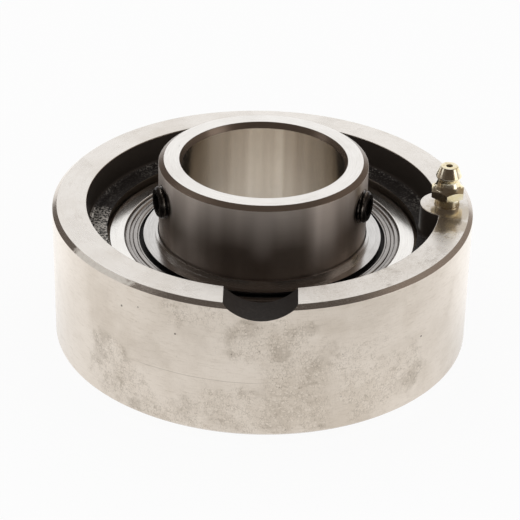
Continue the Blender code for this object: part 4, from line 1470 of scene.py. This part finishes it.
@dataclass
class Studio:
    """Pale floor, soft lights and a camera at the viewing angle of a product shot.

    Spans of the floor are places in metres. All others are the X, Y or Z of a direction.
    """

    aim: tuple[float, float, float] = (0.0, 0.0, RIM_TOP)
    distance: float = 0.5094
    elevation: float = 27.98
    pan: float = 0.04
    tilt: float = -1.69
    roll: float = 1.30
    focal_length: float = 142.28
    floor_size: float = 6.0
    floor_glow: float = 0.92
    near_tone: float = 0.74
    back_tone: float = 1.22
    right_tone: float = 0.89
    near_floor: Span = (-0.14, 0.0)
    back_floor: Span = (-0.01, 0.03)
    right_floor: Span = (0.04, 0.08)
    front_floor: Span = (-0.015, 0.01)
    shaded_bore: float = 0.2
    ambient: float = 0.74
    roof: Span = (0.7, 0.88)
    front: Span = (-0.8, -0.58)
    front_foot: Span = (-0.02, 0.05)
    hood: Span = (-0.3, 0.0)
    hood_foot: Span = (0.25, 0.45)
    left: Span = (-0.52, -0.36)
    right: Span = (0.34, 0.52)
    side_foot: Span = (-0.02, 0.06)
    dusk: Span = (0.485, 0.56)
    dusk_share: float = 0.42
    room: Colour = tint(66, 56, 48)
    left_wall: Colour = tint(88, 79, 72)
    right_wall: Colour = tint(148, 136, 126)
    softboxes: tuple[Softbox, ...] = (
        Softbox("left_softbox", (-1.05, -0.12, 0.12), 0.36, 0.36, 0.9),
        Softbox("right_softbox", (0.98, -0.40, 0.22), 0.5, 0.5, 1.3),
        Softbox("strip_softbox", (-0.91, 0.20, 1.01), 0.8, 0.15, 1.5, along=(0.32, -0.83, 0.47)),
    )

    def build(self) -> None:
        """Set up the floor, the lights, the world and the camera."""
        self.lay_floor()
        for softbox in self.softboxes:
            softbox.hang(Vector(self.aim))
        self.light_world()
        self.set_camera()
        bpy.context.scene.view_settings.view_transform = "Standard"

    def lay_floor(self) -> None:
        """Add a plain pale floor, which the camera sees white and polished metal sees at a painted
        tone.
        """
        bpy.ops.object.select_all(action="DESELECT")
        bpy.ops.mesh.primitive_plane_add(size=self.floor_size, location=(0, 0, 0))
        floor = bpy.context.active_object
        floor.name = "studio_floor"
        material = bpy.data.materials.new("white_floor")
        material.use_nodes = True
        graph = Graph(material.node_tree)
        shader = material.node_tree.nodes["Principled BSDF"]
        shader.inputs["Base Color"].default_value = (0.93, 0.93, 0.93, 1.0)
        shader.inputs["Roughness"].default_value = 0.9
        shader.inputs["Specular IOR Level"].default_value = 0.1
        white = graph.add("ShaderNodeEmission", {"Strength": self.mirrored_tone(graph)})
        share = graph.maths("MULTIPLY", self.seen_plainly(graph), self.floor_glow)
        both = graph.add("ShaderNodeMixShader", {0: share, 1: shader.outputs[0], 2: white.outputs[0]})
        graph.feed(material.node_tree.nodes["Material Output"].inputs["Surface"], both.outputs[0])
        floor.data.materials.append(material)

    def mirrored_tone(self, graph: Graph) -> Value:
        """Return how white the floor is: paper white to the camera, in a mirror by its place."""
        place_on_floor = graph.add("ShaderNodeTexCoord").outputs["Object"]
        right, back = graph.parts(place_on_floor)[:2]
        out = graph.vector("LENGTH", place_on_floor).outputs[1]
        # painted light and shade for mirrors: the floor is darker in front and at the right, brighter
        # behind
        open_floor = graph.ease(back, *self.near_floor, self.near_tone, 1.0)
        # painted shadow: the floor under the bore is darkened
        in_bore = graph.ease(out, 0.2 * BORE_RADIUS, BORE_RADIUS, 1.0, self.shaded_bore)
        under = graph.maths("LESS_THAN", out, 1.25 * BORE_RADIUS)
        glow = graph.maths("MULTIPLY", open_floor,
                           graph.ease(back, *self.back_floor, 1.0, self.back_tone))
        beside = graph.maths("MULTIPLY", graph.ease(right, *self.right_floor),
                             graph.ease(back, *self.front_floor, 1.0, 0.0))
        glow = graph.maths("MULTIPLY_ADD", beside, self.right_tone - 1.0, glow)
        tone = graph.add("ShaderNodeMix", {0: under, 2: glow, 3: in_bore}).outputs[0]
        camera = graph.add("ShaderNodeLightPath").outputs["Is Camera Ray"]
        return graph.add("ShaderNodeMix", {0: camera, 2: tone, 3: 1.0}).outputs[0]

    def seen_plainly(self, graph: Graph) -> Value:
        """Return 1 for what the camera sees, at once or in a mirror or through glass."""
        rays = graph.add("ShaderNodeLightPath").outputs
        mirrored = graph.maths("MAXIMUM", rays["Is Glossy Ray"], rays["Is Transmission Ray"])
        return graph.maths("MAXIMUM", rays["Is Camera Ray"], mirrored)

    def light_world(self) -> None:
        """Make a white surround that is open to a dark room overhead and behind the camera."""
        world = bpy.data.worlds.new("studio")
        bpy.context.scene.world = world
        world.use_nodes = True
        graph = Graph(world.node_tree)
        direction = graph.add("ShaderNodeTexCoord").outputs["Generated"]
        right, back, up = graph.parts(direction)
        overhead = graph.ease(up, *self.roof)
        facing = graph.ease(back, *self.front, 1.0, 0.0)
        low_room = graph.maths("MULTIPLY", facing, graph.ease(up, *self.front_foot))
        above_camera = graph.maths("MULTIPLY", graph.ease(back, *self.hood, 1.0, 0.0),
                                   graph.ease(up, *self.hood_foot))
        room = graph.maths("MAXIMUM", graph.maths("MAXIMUM", overhead, low_room), above_camera)
        above_floor = graph.ease(up, *self.side_foot)
        on_right = graph.maths("MULTIPLY", graph.ease(right, *self.right), above_floor)
        on_left = graph.maths("MULTIPLY", graph.ease(right, *self.left, 1.0, 0.0), above_floor)
        dusk = graph.ease(up, *self.dusk, 0.0, self.dusk_share)
        backdrop = graph.mix(dusk, (1.0, 1.0, 1.0, 1.0), self.right_wall)
        mirrored = graph.mix(on_right, backdrop, self.right_wall)
        mirrored = graph.mix(on_left, mirrored, self.left_wall)
        mirrored = graph.mix(room, mirrored, self.room)
        rays = graph.add("ShaderNodeLightPath").outputs
        plain = (self.ambient, self.ambient, self.ambient, 1.0)
        colour = graph.mix(self.seen_plainly(graph), plain, mirrored)
        colour = graph.mix(rays["Is Camera Ray"], colour, (1.0, 1.0, 1.0, 1.0))
        graph.feed(world.node_tree.nodes["Background"].inputs["Color"], colour)

    def set_camera(self) -> None:
        """Add the camera, turned from the line to its aim by its pan, tilt and roll."""
        camera = bpy.data.cameras.new("camera")
        camera.lens = self.focal_length
        camera.clip_start = 0.01
        rig = bpy.data.objects.new("camera", camera)
        bpy.context.scene.collection.objects.link(rig)
        rise = math.radians(self.elevation)
        offset = Vector((0.0, -math.cos(rise), math.sin(rise))) * self.distance
        facing = (-offset).to_track_quat("-Z", "Y").to_matrix().to_4x4()
        facing @= Matrix.Rotation(math.radians(self.pan), 4, "Y")
        facing @= Matrix.Rotation(math.radians(self.tilt), 4, "X")
        facing @= Matrix.Rotation(math.radians(self.roll), 4, "Z")
        rig.matrix_world = Matrix.Translation(Vector(self.aim) + offset) @ facing
        bpy.context.scene.camera = rig


@dataclass
class Cartridge:
    """The iron housing: a turned drum with a ball-shaped seat, black recesses and a notch."""

    radius: float = DRUM_RADIUS
    top: float = RIM_TOP
    bottom: float = 0.00235
    chamfer_out: float = 0.0011
    chamfer_down: float = 0.00095
    recess_radius: float = 0.0436
    recess_floor: float = 0.03035
    recess_corner: float = 0.0012
    lower_floor: float = 0.00765
    seat_radius: float = 0.04025
    seat_half: float = 0.01135
    edge: float = 0.00018
    boss_place: float = FITTING_PLACE
    boss_radius: float = 0.0066
    hole_radius: float = 0.00308
    hole_bottom: float = 0.03085
    hole_sink: float = 0.0001
    notch_radius: float = 0.0118
    notch_depth: float = 0.0037
    notch_length: float = 0.02
    notch_inside: float = 0.014
    slot_radius: float = 0.0411
    slot_width: float = 0.0196
    steps: int = 240
    boss_steps: int = 96
    hole_steps: int = 64
    notch_steps: int = 160
    spare: float = 0.001

    def build(self) -> None:
        """Turn the drum, sink its recess, cut notch, slots and hole, and paint its faces."""
        body = turned("housing_cartridge", self.section(), self.steps)
        for make_tool in (self.recess_tool, self.notch_tool, self.slot_tool, self.hole_tool):
            combine(body, make_tool(), Shape.CUT_AWAY)
        soften(body, 24.0)
        finishes = {Zone.DRUM: IRON, Zone.FACE: FACED_IRON, Zone.CHAMFER: CHAMFER_IRON,
                    Zone.CAST: CAST_SKIN, Zone.PAINTED: SMOOTH_SKIN, Zone.SEAT: PAINTED_SHADE_SEAT_IRON,
                    Zone.NOTCH: NOTCH_SKIN}
        dress(body, [finishes[zone].material() for zone in Zone], self.zone_of)
        mount(body, "housing", ["cartridge_housing"])

    def section(self) -> list[Corner]:
        """Return the drum's section, with the lower recess and the seat but no upper recess."""
        mouth = math.sqrt(self.seat_radius ** 2 - self.seat_half ** 2)
        reach = math.degrees(math.asin(self.seat_half / self.seat_radius))
        shoulder = self.radius - self.chamfer_out
        corners = [
            Corner(mouth, self.top),
            Corner(shoulder, self.top, self.edge),
            Corner(self.radius, self.top - self.chamfer_down, self.edge),
            Corner(self.radius, self.bottom + self.chamfer_down, self.edge),
            Corner(shoulder, self.bottom, self.edge),
            Corner(self.recess_radius, self.bottom, self.edge),
            Corner(self.recess_radius, self.lower_floor, self.recess_corner),
        ]
        return corners + arc((0.0, SEAT_CENTRE), self.seat_radius, -reach, reach, 24)

    def recess_tool(self) -> bpy.types.Object:
        """Return the upper recess as a solid, with the boss of the fitting left out of it."""
        above = self.top + self.spare
        lip = self.recess_radius + self.edge
        corners = [Corner(0.0, above), Corner(lip, above)]
        corners += arc((lip, self.top - self.edge), self.edge, 90, 180, FILLET_STEPS)
        corners += [
            Corner(self.recess_radius, self.recess_floor, self.recess_corner),
            Corner(0.0, self.recess_floor),
        ]
        tool = turned("recess_tool", corners, self.steps)
        crown = self.boss_radius - self.edge
        foot = self.boss_radius + 2 * self.recess_corner
        below = self.recess_floor - self.spare / 10
        boss_corners = [Corner(0.0, above + self.spare), Corner(crown, above + self.spare)]
        boss_corners += arc((crown, self.top - self.edge), self.edge, 90, 0, FILLET_STEPS)
        boss_corners += [
            Corner(self.boss_radius, below, self.recess_corner),
            Corner(foot, below),
            Corner(foot, self.recess_floor - self.spare),
            Corner(0.0, self.recess_floor - self.spare),
        ]
        boss = turned("boss_tool", boss_corners, self.boss_steps)
        place(boss, Matrix.Translation((self.boss_place, 0.0, 0.0)))
        combine(tool, boss, Shape.CUT_AWAY)
        return tool

    def notch_axis(self) -> float:
        """Return the height of the notch's axis."""
        return self.top - self.notch_depth + self.notch_radius

    def notch_tool(self) -> bpy.types.Object:
        """Return the round cutter of the notch, lying along Y across the front of the rim."""
        tool = drum("notch_tool", self.notch_radius, 0.0, self.notch_length, self.notch_steps)
        lying = Matrix.Rotation(math.pi / 2, 4, "X")
        inner_end = (0.0, -self.radius + self.notch_inside, self.notch_axis())
        return place(tool, Matrix.Translation(inner_end) @ lying)

    def slot_tool(self) -> bpy.types.Object:
        """Return the space of the two loading slots, which open on the lower side."""
        low = self.lower_floor - 2 * self.spare
        tool = drum("slot_tool", self.slot_radius, low, SEAT_CENTRE, self.steps)
        bpy.ops.object.select_all(action="DESELECT")
        bpy.ops.mesh.primitive_cube_add(size=1.0, location=(0, 0, SEAT_CENTRE))
        sides = bpy.context.active_object
        past_drum = 0.12
        past_ends = 0.06
        bpy.ops.transform.resize(value=(self.slot_width, past_drum, past_ends))
        bpy.ops.object.transform_apply(location=True, rotation=True, scale=True)
        combine(tool, sides, Shape.KEEP_COMMON)
        return tool

    def hole_tool(self) -> bpy.types.Object:
        """Return the fitting's tapped hole, with its countersink."""
        tool = turned("hole_tool", [
            Corner(0.0, self.top + self.spare),
            Corner(self.hole_radius + self.hole_sink + self.spare, self.top + self.spare),
            Corner(self.hole_radius, self.top - self.hole_sink),
            Corner(self.hole_radius, self.hole_bottom),
            Corner(0.0, self.hole_bottom),
        ], self.hole_steps)
        return place(tool, Matrix.Translation((self.boss_place, 0.0, 0.0)))

    def zone_of(self, middle: Vector, normal: Vector) -> Zone:
        """Return the zone that a face lies in.

        Args:
            middle: The face's middle.
            normal: The direction that it looks in.

        Returns:
            Its zone.
        """
        on_surface = 5e-5  # how near its surface the middle of a faceted face comes
        r = math.hypot(middle.x, middle.y)
        upright = abs(normal.z)
        from_notch = math.hypot(middle.x, middle.z - self.notch_axis())
        near_rim = r > self.recess_radius - self.edge
        if middle.y < 0 and near_rim and abs(from_notch - self.notch_radius) < on_surface:
            return Zone.NOTCH
        from_end = min(self.top - middle.z, middle.z - self.bottom)
        if from_end < 0.4 * on_surface and upright > 0.95:
            return Zone.FACE
        outside = r > self.recess_radius + self.edge
        if from_end < self.edge or (outside and upright > 0.3):
            return Zone.CHAMFER
        if outside:
            return Zone.DRUM
        inside = abs(middle.z - SEAT_CENTRE)
        from_seat = abs(math.hypot(r, inside) - self.seat_radius)
        if inside < self.seat_half and from_seat < 2 * on_surface:
            return Zone.SEAT
        return Zone.CAST if upright > 0.5 or inside < self.seat_half else Zone.PAINTED


@dataclass
class GreaseFitting:
    """The grease fitting in the rim: plated body with a hexagon, check ball and coil spring.

    Heights are counted from the cartridge's upper face.
    """

    place_x: float = FITTING_PLACE
    face: float = RIM_TOP
    shank: float = 0.00305
    shank_below: float = 0.0055
    collar: float = 0.0031
    hex_bottom: float = 0.00245
    hex_top: float = 0.0046
    hex_flats: float = 0.0078
    hex_turn: float = -6.0
    head_top: float = 0.0105
    duct: float = 0.0008
    chamber: float = 0.00135
    chamber_low: float = 0.0020
    chamber_high: float = 0.00935
    break_edge: float = 0.0001
    spare: float = 0.001
    thread_pitch: float = 0.001
    thread_depth: float = 0.00042
    thread_top: float = -0.0003
    thread_rings: int = 60
    check_ball: float = 0.0011
    check_level: float = 0.008897
    check_lift: float = 0.0007
    ball_steps: int = 32
    coil: float = 0.00095
    coil_low: float = 0.0024
    coil_high: float = 0.007522
    wire: float = 0.0003
    wire_sides: int = 12
    turns: int = 5
    turn_steps: int = 28
    steps: int = 72

    def build(self) -> None:
        """Turn the body, mill its hexagon, cut its thread and add the check ball on its spring."""
        stand = Matrix.Translation((self.place_x, 0.0, self.face))
        body = turned("fitting_body", self.section(), self.steps)
        thread(body, self.shank, self.thread_depth, self.thread_pitch,
               -self.shank_below, self.thread_top)
        flats = place(self.flats_tool(), Matrix.Rotation(math.radians(self.hex_turn), 4, "Z"))
        combine(body, flats, Shape.CUT_AWAY)
        place(body, stand)
        soften(body, 32.0)
        dress(body, [PLATING.material()])
        mount(body, "housing", ["grease_fitting_body"])
        ball = sphere("fitting_check_ball", self.check_ball, self.check_level, self.ball_steps)
        place(ball, stand)
        soften(ball)
        dress(ball, [RACE_STEEL.material()])
        mount(ball, "fitting_ball", ["grease_fitting_ball"])
        spring = place(self.wind_spring(), stand)
        soften(spring, 60.0)
        dress(spring, [RACE_STEEL.material()])
        mount(spring, "housing", ["grease_fitting_spring"])
        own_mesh(spring)

    def wind_spring(self) -> bpy.types.Object:
        """Return the coil that carries the check ball, wound from round wire with closed ends."""
        bpy.ops.object.select_all(action="DESELECT")
        bpy.ops.mesh.primitive_circle_add(vertices=self.wire_sides, radius=self.wire / 2)
        spring = bpy.context.active_object
        spring.name = "fitting_spring"
        place(spring, Matrix.Translation((self.coil, 0.0, self.coil_low))
              @ Matrix.Rotation(math.pi / 2, 4, "X"))
        winding = spring.modifiers.new("Winding", "SCREW")
        winding.iterations = self.turns
        winding.steps = self.turn_steps
        winding.screw_offset = (self.coil_high - self.coil_low) / self.turns
        select_only(spring)
        bpy.ops.object.modifier_apply(modifier=winding.name)
        with editing(spring):
            bpy.ops.mesh.fill_holes(sides=0)
            bpy.ops.mesh.normals_make_consistent(inside=False)
        return spring

    def section(self) -> list[Corner]:
        """Return the section of the fitting's body: head, horn, hexagon, collar, shank and duct."""
        corner = hexagon_corner(self.hex_flats)
        corners = [
            Corner(self.duct, self.head_top, 0.00006),
            Corner(0.00214, self.head_top, 0.00018),
            Corner(0.00318, 0.0079, 0.00025),
            Corner(0.00306, 0.0076, 0.00012),
            Corner(0.00260, 0.0067, 0.0005),
            Corner(0.00300, 0.0055, 0.0015),
            Corner(0.00352, 0.00475, 0.0010),
            Corner(corner, self.hex_top - 0.0005, 0.00006),
            Corner(corner, self.hex_bottom + 0.0002, 0.00006),
            Corner(self.hex_flats / 2 - self.break_edge, self.hex_bottom, 0.00005),
            Corner(self.collar - self.break_edge, self.hex_bottom - self.break_edge, 0.0001),
            Corner(self.collar, 0.0003, 0.0001),
            Corner(self.collar - self.break_edge, 0.00003),
            Corner(self.shank, -0.00002),
        ]
        point = 0.0005
        corners += close_rings(self.shank, -0.0002, point - self.shank_below, self.thread_rings)
        corners += [
            Corner(self.shank - point, -self.shank_below),
            Corner(self.duct, -self.shank_below),
            Corner(self.duct, self.chamber_low),
            Corner(self.chamber, self.chamber_low),
            Corner(self.chamber, self.chamber_high),
            Corner(self.duct, self.chamber_high + self.chamber - self.duct),
        ]
        return corners

    def flats_tool(self) -> bpy.types.Object:
        """Return a ring with a hexagonal hole, which mills the flats."""
        low = self.hex_bottom - self.spare
        high = self.hex_top + 0.2 * self.spare
        tool = drum("flats_tool", self.hex_flats, low, high, 48)
        core = drum("flats_core", hexagon_corner(self.hex_flats),
                    low - self.spare, high + self.spare, 6)
        combine(tool, core, Shape.CUT_AWAY)
        return tool


@dataclass
class BearingRings:
    """The insert's outer ring, ball-shaped outside, and its extended inner ring."""

    sphere: float = 0.040
    half_width: float = 0.0095
    outer_bore: float = 0.03435
    groove_depth: float = 0.0007
    groove_top: float = 0.0005
    groove_foot: float = 0.0015
    corner_in: float = 0.0011
    corner_down: float = 0.0009
    ball_radius: float = BALL_RADIUS
    pitch_radius: float = BALL_CIRCLE
    race_radius: float = 0.0062356
    race_gap: float = 0.00025
    inner_radius: float = RING_RADIUS
    bore: float = BORE_RADIUS
    upper_end: float = 0.0492
    end_in: float = 0.0013
    end_down: float = 0.0009
    flare_out: float = 0.00066
    flare_down: float = 0.0015
    grease_level: float = 0.0255
    grease_half: float = 0.0015
    grease_depth: float = 0.0008
    grease_hole: float = 0.001
    grease_drill: Span = (0.030, 0.045)
    screw_level: float = SCREW_LEVEL
    screw_hole: float = 0.0042
    screw_drill: Span = (0.015, 0.030)
    screw_azimuths: tuple[float, ...] = (RIGHT_SCREW, LEFT_SCREW)
    steps: int = 192
    drill_steps: int = 64

    def build(self) -> None:
        """Turn both rings, drill the screw holes and give each face its finish."""
        outer = turned("insert_outer_ring", self.outer_section(), self.steps)
        for azimuth in (0.0, math.pi):
            combine(outer, self.radial_drill(self.grease_hole, azimuth, self.grease_level,
                                             self.grease_drill), Shape.CUT_AWAY)
        soften(outer)
        dress(outer, [OUTER_FACE.material(), RACE_STEEL.material(), RING_SIDE.material()],
              self.outer_zone_of)
        mount(outer, "outer_ring", ["outer_ring"])
        inner = turned("insert_inner_ring", self.inner_section(), self.steps)
        for degrees in self.screw_azimuths:
            combine(inner, self.radial_drill(self.screw_hole, math.radians(degrees),
                                             self.screw_level, self.screw_drill),
                    Shape.CUT_AWAY)
        soften(inner)
        dress(inner, [RING_FACE.material(), RACE_STEEL.material(), RING_SIDE.material(),
                      BORE_STEEL.material(), SCALE_STEEL.material()], self.inner_zone_of)
        mount(inner, "inner_ring", ["inner_ring"])

    def race(self, outer: bool) -> list[Corner]:
        """Return the arc of a raceway.

        Args:
            outer: Whether it is the outer ring's.

        Returns:
            Its corners, from the upper edge down.
        """
        depth = self.pitch_radius + self.ball_radius + self.race_gap - self.race_radius
        edge = self.outer_bore
        if not outer:
            depth = self.pitch_radius - self.ball_radius - self.race_gap + self.race_radius
            edge = self.inner_radius
        reach = math.degrees(math.acos(abs(edge - depth) / self.race_radius))
        start, end = (reach, -reach) if outer else (180 - reach, 180 + reach)
        return arc((depth, SEAT_CENTRE), self.race_radius, start, end, 20)

    def outer_section(self) -> list[Corner]:
        """Return the outer ring's section: sphere, grease groove, faces, shield grooves, race."""
        top = SEAT_CENTRE + self.half_width
        corner_level = self.half_width - self.corner_down
        groove_low = self.grease_level - self.grease_half - SEAT_CENTRE
        groove_high = self.grease_level + self.grease_half - SEAT_CENTRE
        floor = math.sqrt(self.sphere ** 2 - groove_high ** 2) - self.grease_depth
        angle = [math.degrees(math.asin(level / self.sphere))
                 for level in (corner_level, groove_high, groove_low)]
        face_edge = math.sqrt(self.sphere ** 2 - corner_level ** 2) - self.corner_in
        centre = (0.0, SEAT_CENTRE)
        corners = [Corner(face_edge, top, 0.0003)]
        corners += arc(centre, self.sphere, angle[0], angle[1], 2)
        corners += [Corner(floor, SEAT_CENTRE + groove_high), Corner(floor, SEAT_CENTRE + groove_low)]
        corners += arc(centre, self.sphere, angle[2], -angle[0], 20)
        corners.append(Corner(face_edge, Side.LOWER.height(top), 0.0003))
        groove = self.outer_bore + self.groove_depth
        inside = [
            Corner(self.outer_bore, top, 0.0002),
            Corner(self.outer_bore, top - self.groove_top),
            Corner(groove, top - self.groove_top),
            Corner(groove, top - self.groove_foot),
            Corner(self.outer_bore, top - self.groove_foot),
        ]
        mirrored = on_side(Side.LOWER, reversed(inside))
        return corners + (inside + self.race(True) + mirrored)[::-1]

    def inner_section(self) -> list[Corner]:
        """Return the inner ring's section: ends, chamfers, raceway and bore."""
        rim = self.inner_radius - self.end_in
        bore_edge = self.bore + self.flare_out
        corners = [
            Corner(bore_edge, self.upper_end, 0.00012),
            Corner(rim, self.upper_end, 0.00015),
            Corner(self.inner_radius, self.upper_end - self.end_down, 0.00025),
        ]
        corners += self.race(False)
        corners += [
            Corner(self.inner_radius, self.end_down, 0.00025),
            Corner(rim, 0.0, 0.00015),
            Corner(bore_edge, 0.0, 0.00012),
            Corner(self.bore, self.flare_down, 0.0003),
            Corner(self.bore, self.upper_end - self.flare_down, 0.0003),
        ]
        return corners

    def radial_drill(self, radius: float, azimuth: float, level: float,
                     reach: Span) -> bpy.types.Object:
        """Return a drill that lies across the shaft axis.

        Args:
            radius: Radius of the drill.
            azimuth: Direction that it points in, in radians.
            level: Height of its axis.
            reach: Distances of its ends from the shaft axis.

        Returns:
            The drill as a solid.
        """
        tool = drum("drill", radius, *reach, self.drill_steps)
        return place(tool, Matrix.Translation((0.0, 0.0, level)) @ pointing_out(azimuth))

    def outer_zone_of(self, middle: Vector, normal: Vector) -> RingZone:
        """Return the zone of a face of the outer ring.

        Args:
            middle: The face's middle.
            normal: The direction that it looks in.

        Returns:
            Its zone, which is the side for all of the ball-shaped outside.
        """
        if abs(normal.z) > 0.6:
            return RingZone.END
        in_bore = math.hypot(middle.x, middle.y) < self.outer_bore + 0.003
        return RingZone.RACE if in_bore else RingZone.SIDE

    def inner_zone_of(self, middle: Vector, normal: Vector) -> RingZone:
        """Return the zone of a face of the inner ring.

        Args:
            middle: The face's middle.
            normal: The direction that it looks in.

        Returns:
            Its zone.
        """
        upright = abs(normal.z)
        near_end = min(middle.z, self.upper_end - middle.z) < self.flare_down + 0.0002
        if near_end and upright > 0.97:
            return RingZone.END
        if near_end and upright > 0.2:
            return RingZone.CHAMFER
        if math.hypot(middle.x, middle.y) < self.bore + 0.0015:
            return RingZone.BORE
        return RingZone.RACE if abs(middle.z - SEAT_CENTRE) < 0.0055 else RingZone.SIDE


@dataclass
class Seal:
    """One side's seal: pressed shield, rubber lip and slinger.

    Heights are given for the upper side; the lower side is its mirror.
    """

    side: Side
    sheet_thickness: float = 0.0005
    slinger_thickness: float = 0.0006
    steps: int = 192

    def build(self) -> None:
        """Press the shield and the slinger, mould the lip and dress all three."""
        label = self.side.name.lower()
        shield = self.turn_side("seal_shield_pressed_" + label, sheet([
            Corner(0.03475, 0.02752),
            Corner(0.03425, 0.02752, 0.0003),
            Corner(0.03395, 0.02800, 0.0003),
            Corner(0.03335, 0.02800, 0.0003),
            Corner(0.03300, 0.02752, 0.0003),
            Corner(0.03225, 0.02752, 0.0002),
            Corner(0.03200, 0.02775, 0.0002),
            Corner(0.03135, 0.02775, 0.0002),
            Corner(0.03110, 0.02752, 0.0002),
            Corner(0.03070, 0.02752),
        ], self.sheet_thickness))
        dress(shield, [SEAL_STEEL.material()])
        mount(shield, "outer_ring", ["seal_shield_" + label])
        lip = self.turn_side("seal_lip_moulded_" + label, [
            Corner(0.0329, 0.02695),
            Corner(0.0329, 0.02635, 0.0001),
            Corner(0.0272, 0.02635, 0.0003),
            Corner(0.02605, 0.02690, 0.0001),
            Corner(0.0272, 0.02695, 0.0003),
        ])
        dress(lip, [LIP_RUBBER.material()])
        mount(lip, "outer_ring", ["seal_lip_" + label])
        slinger = self.turn_side("slinger_pressed_" + label, sheet([
            Corner(0.02635, 0.02985),
            Corner(0.02635, 0.02832, 0.00035),
            Corner(0.02780, 0.02832, 0.0006),
            Corner(0.02960, 0.02826),
        ], self.slinger_thickness))
        dress(slinger, [SLINGER_STEEL.material()])
        mount(slinger, "inner_ring", ["slinger_" + label])

    def turn_side(self, name: str, corners: Sequence[Corner]) -> bpy.types.Object:
        """Turn a piece on this seal's side of the insert.

        Args:
            name: Name of the piece.
            corners: Its section, given for the upper side.

        Returns:
            The piece, shaded.
        """
        piece = turned(name, on_side(self.side, corners), self.steps)
        soften(piece, 40.0)
        return piece


@dataclass
class SetScrew:
    """A headless screw with a hexagon socket, a cup point and a cut thread."""

    node: str
    azimuth: float
    level: float = SCREW_LEVEL
    tip: float = 0.0199
    length: float = 0.0076
    radius: float = 0.004
    pitch: float = 0.0009
    depth: float = 0.0005
    socket_flats: float = 0.004
    socket_depth: float = 0.003
    end_in: float = 0.0007
    end_down: float = 0.0006
    point_in: float = 0.0012
    cup_radius: float = 0.0023
    cup_depth: float = 0.0008
    thread_start: float = 0.0006
    thread_end: float = 0.0002
    spare: float = 0.002
    rings: int = 80
    steps: int = 72

    def build(self) -> None:
        """Turn the blank, cut its thread, broach its socket and set it in its hole."""
        screw = turned(self.node + "_threaded", self.section(), self.steps)
        thread(screw, self.radius, self.depth, self.pitch,
               self.thread_start, self.length - self.thread_end)
        socket = drum("socket_tool", hexagon_corner(self.socket_flats),
                      self.length - self.socket_depth, self.length + self.spare, 6)
        combine(screw, socket, Shape.CUT_AWAY)
        angle = math.radians(self.azimuth)
        tip_place = (self.tip * math.cos(angle), self.tip * math.sin(angle), self.level)
        place(screw, Matrix.Translation(tip_place) @ pointing_out(angle))
        soften(screw, 35.0)
        # the screw's bright crests are partly painted glints
        finish = DarkScrew(self.node + "_black_oxide", azimuth=self.azimuth, level=self.level,
                           crest=self.radius, dark=tint(46, 41, 38), bright=tint(150, 142, 134))
        dress(screw, [finish.material()])
        mount(screw, self.node, [self.node])

    def section(self) -> list[Corner]:
        """Return the blank's section, with close rings where the thread goes."""
        corners = [Corner(0.0, self.length), Corner(self.radius - self.end_in, self.length, 0.0001)]
        corners += close_rings(self.radius, self.length - self.end_down, self.point_in, self.rings)
        corners += [
            Corner(self.radius - self.point_in, 0.0),
            Corner(self.cup_radius, 0.0),
            Corner(0.0, self.cup_depth),
        ]
        return corners


@dataclass
class BallTrain:
    """The balls, each spun smooth, and the cage that keeps its solids."""

    count: int = 9
    radius: float = BALL_RADIUS
    pitch_radius: float = BALL_CIRCLE
    steps: int = 48
    nodes: Mapping[str, bpy.types.Object] = field(default_factory=dict)

    def build(self) -> None:
        """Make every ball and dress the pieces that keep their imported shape."""
        for index in range(self.count):
            angle = TURN * index / self.count
            name = f"ball_{index + 1:02d}"
            ball = sphere("bearing_" + name, self.radius, 0.0, self.steps)
            place(ball, Matrix.Translation((self.pitch_radius * math.cos(angle),
                                            self.pitch_radius * math.sin(angle), SEAT_CENTRE)))
            soften(ball)
            dress(ball, [RACE_STEEL.material()])
            mount(ball, name, [name])
        for name, node in self.nodes.items():
            if name.startswith("cage_"):
                dress(node, [CAGE_STEEL.material()])
                log.info("%s: keeps its packed shape", name)


def main() -> None:
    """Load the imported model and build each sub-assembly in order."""
    logging.basicConfig(level=logging.INFO, format="%(message)s")
    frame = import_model()
    Studio().build()
    Cartridge().build()
    GreaseFitting().build()
    BearingRings().build()
    Seal(Side.UPPER).build()
    Seal(Side.LOWER).build()
    SetScrew("set_screw_right", RIGHT_SCREW).build()
    SetScrew("set_screw_left", LEFT_SCREW).build()
    BallTrain(nodes=frame["nodes"]).build()


if __name__ == "__main__":
    main()
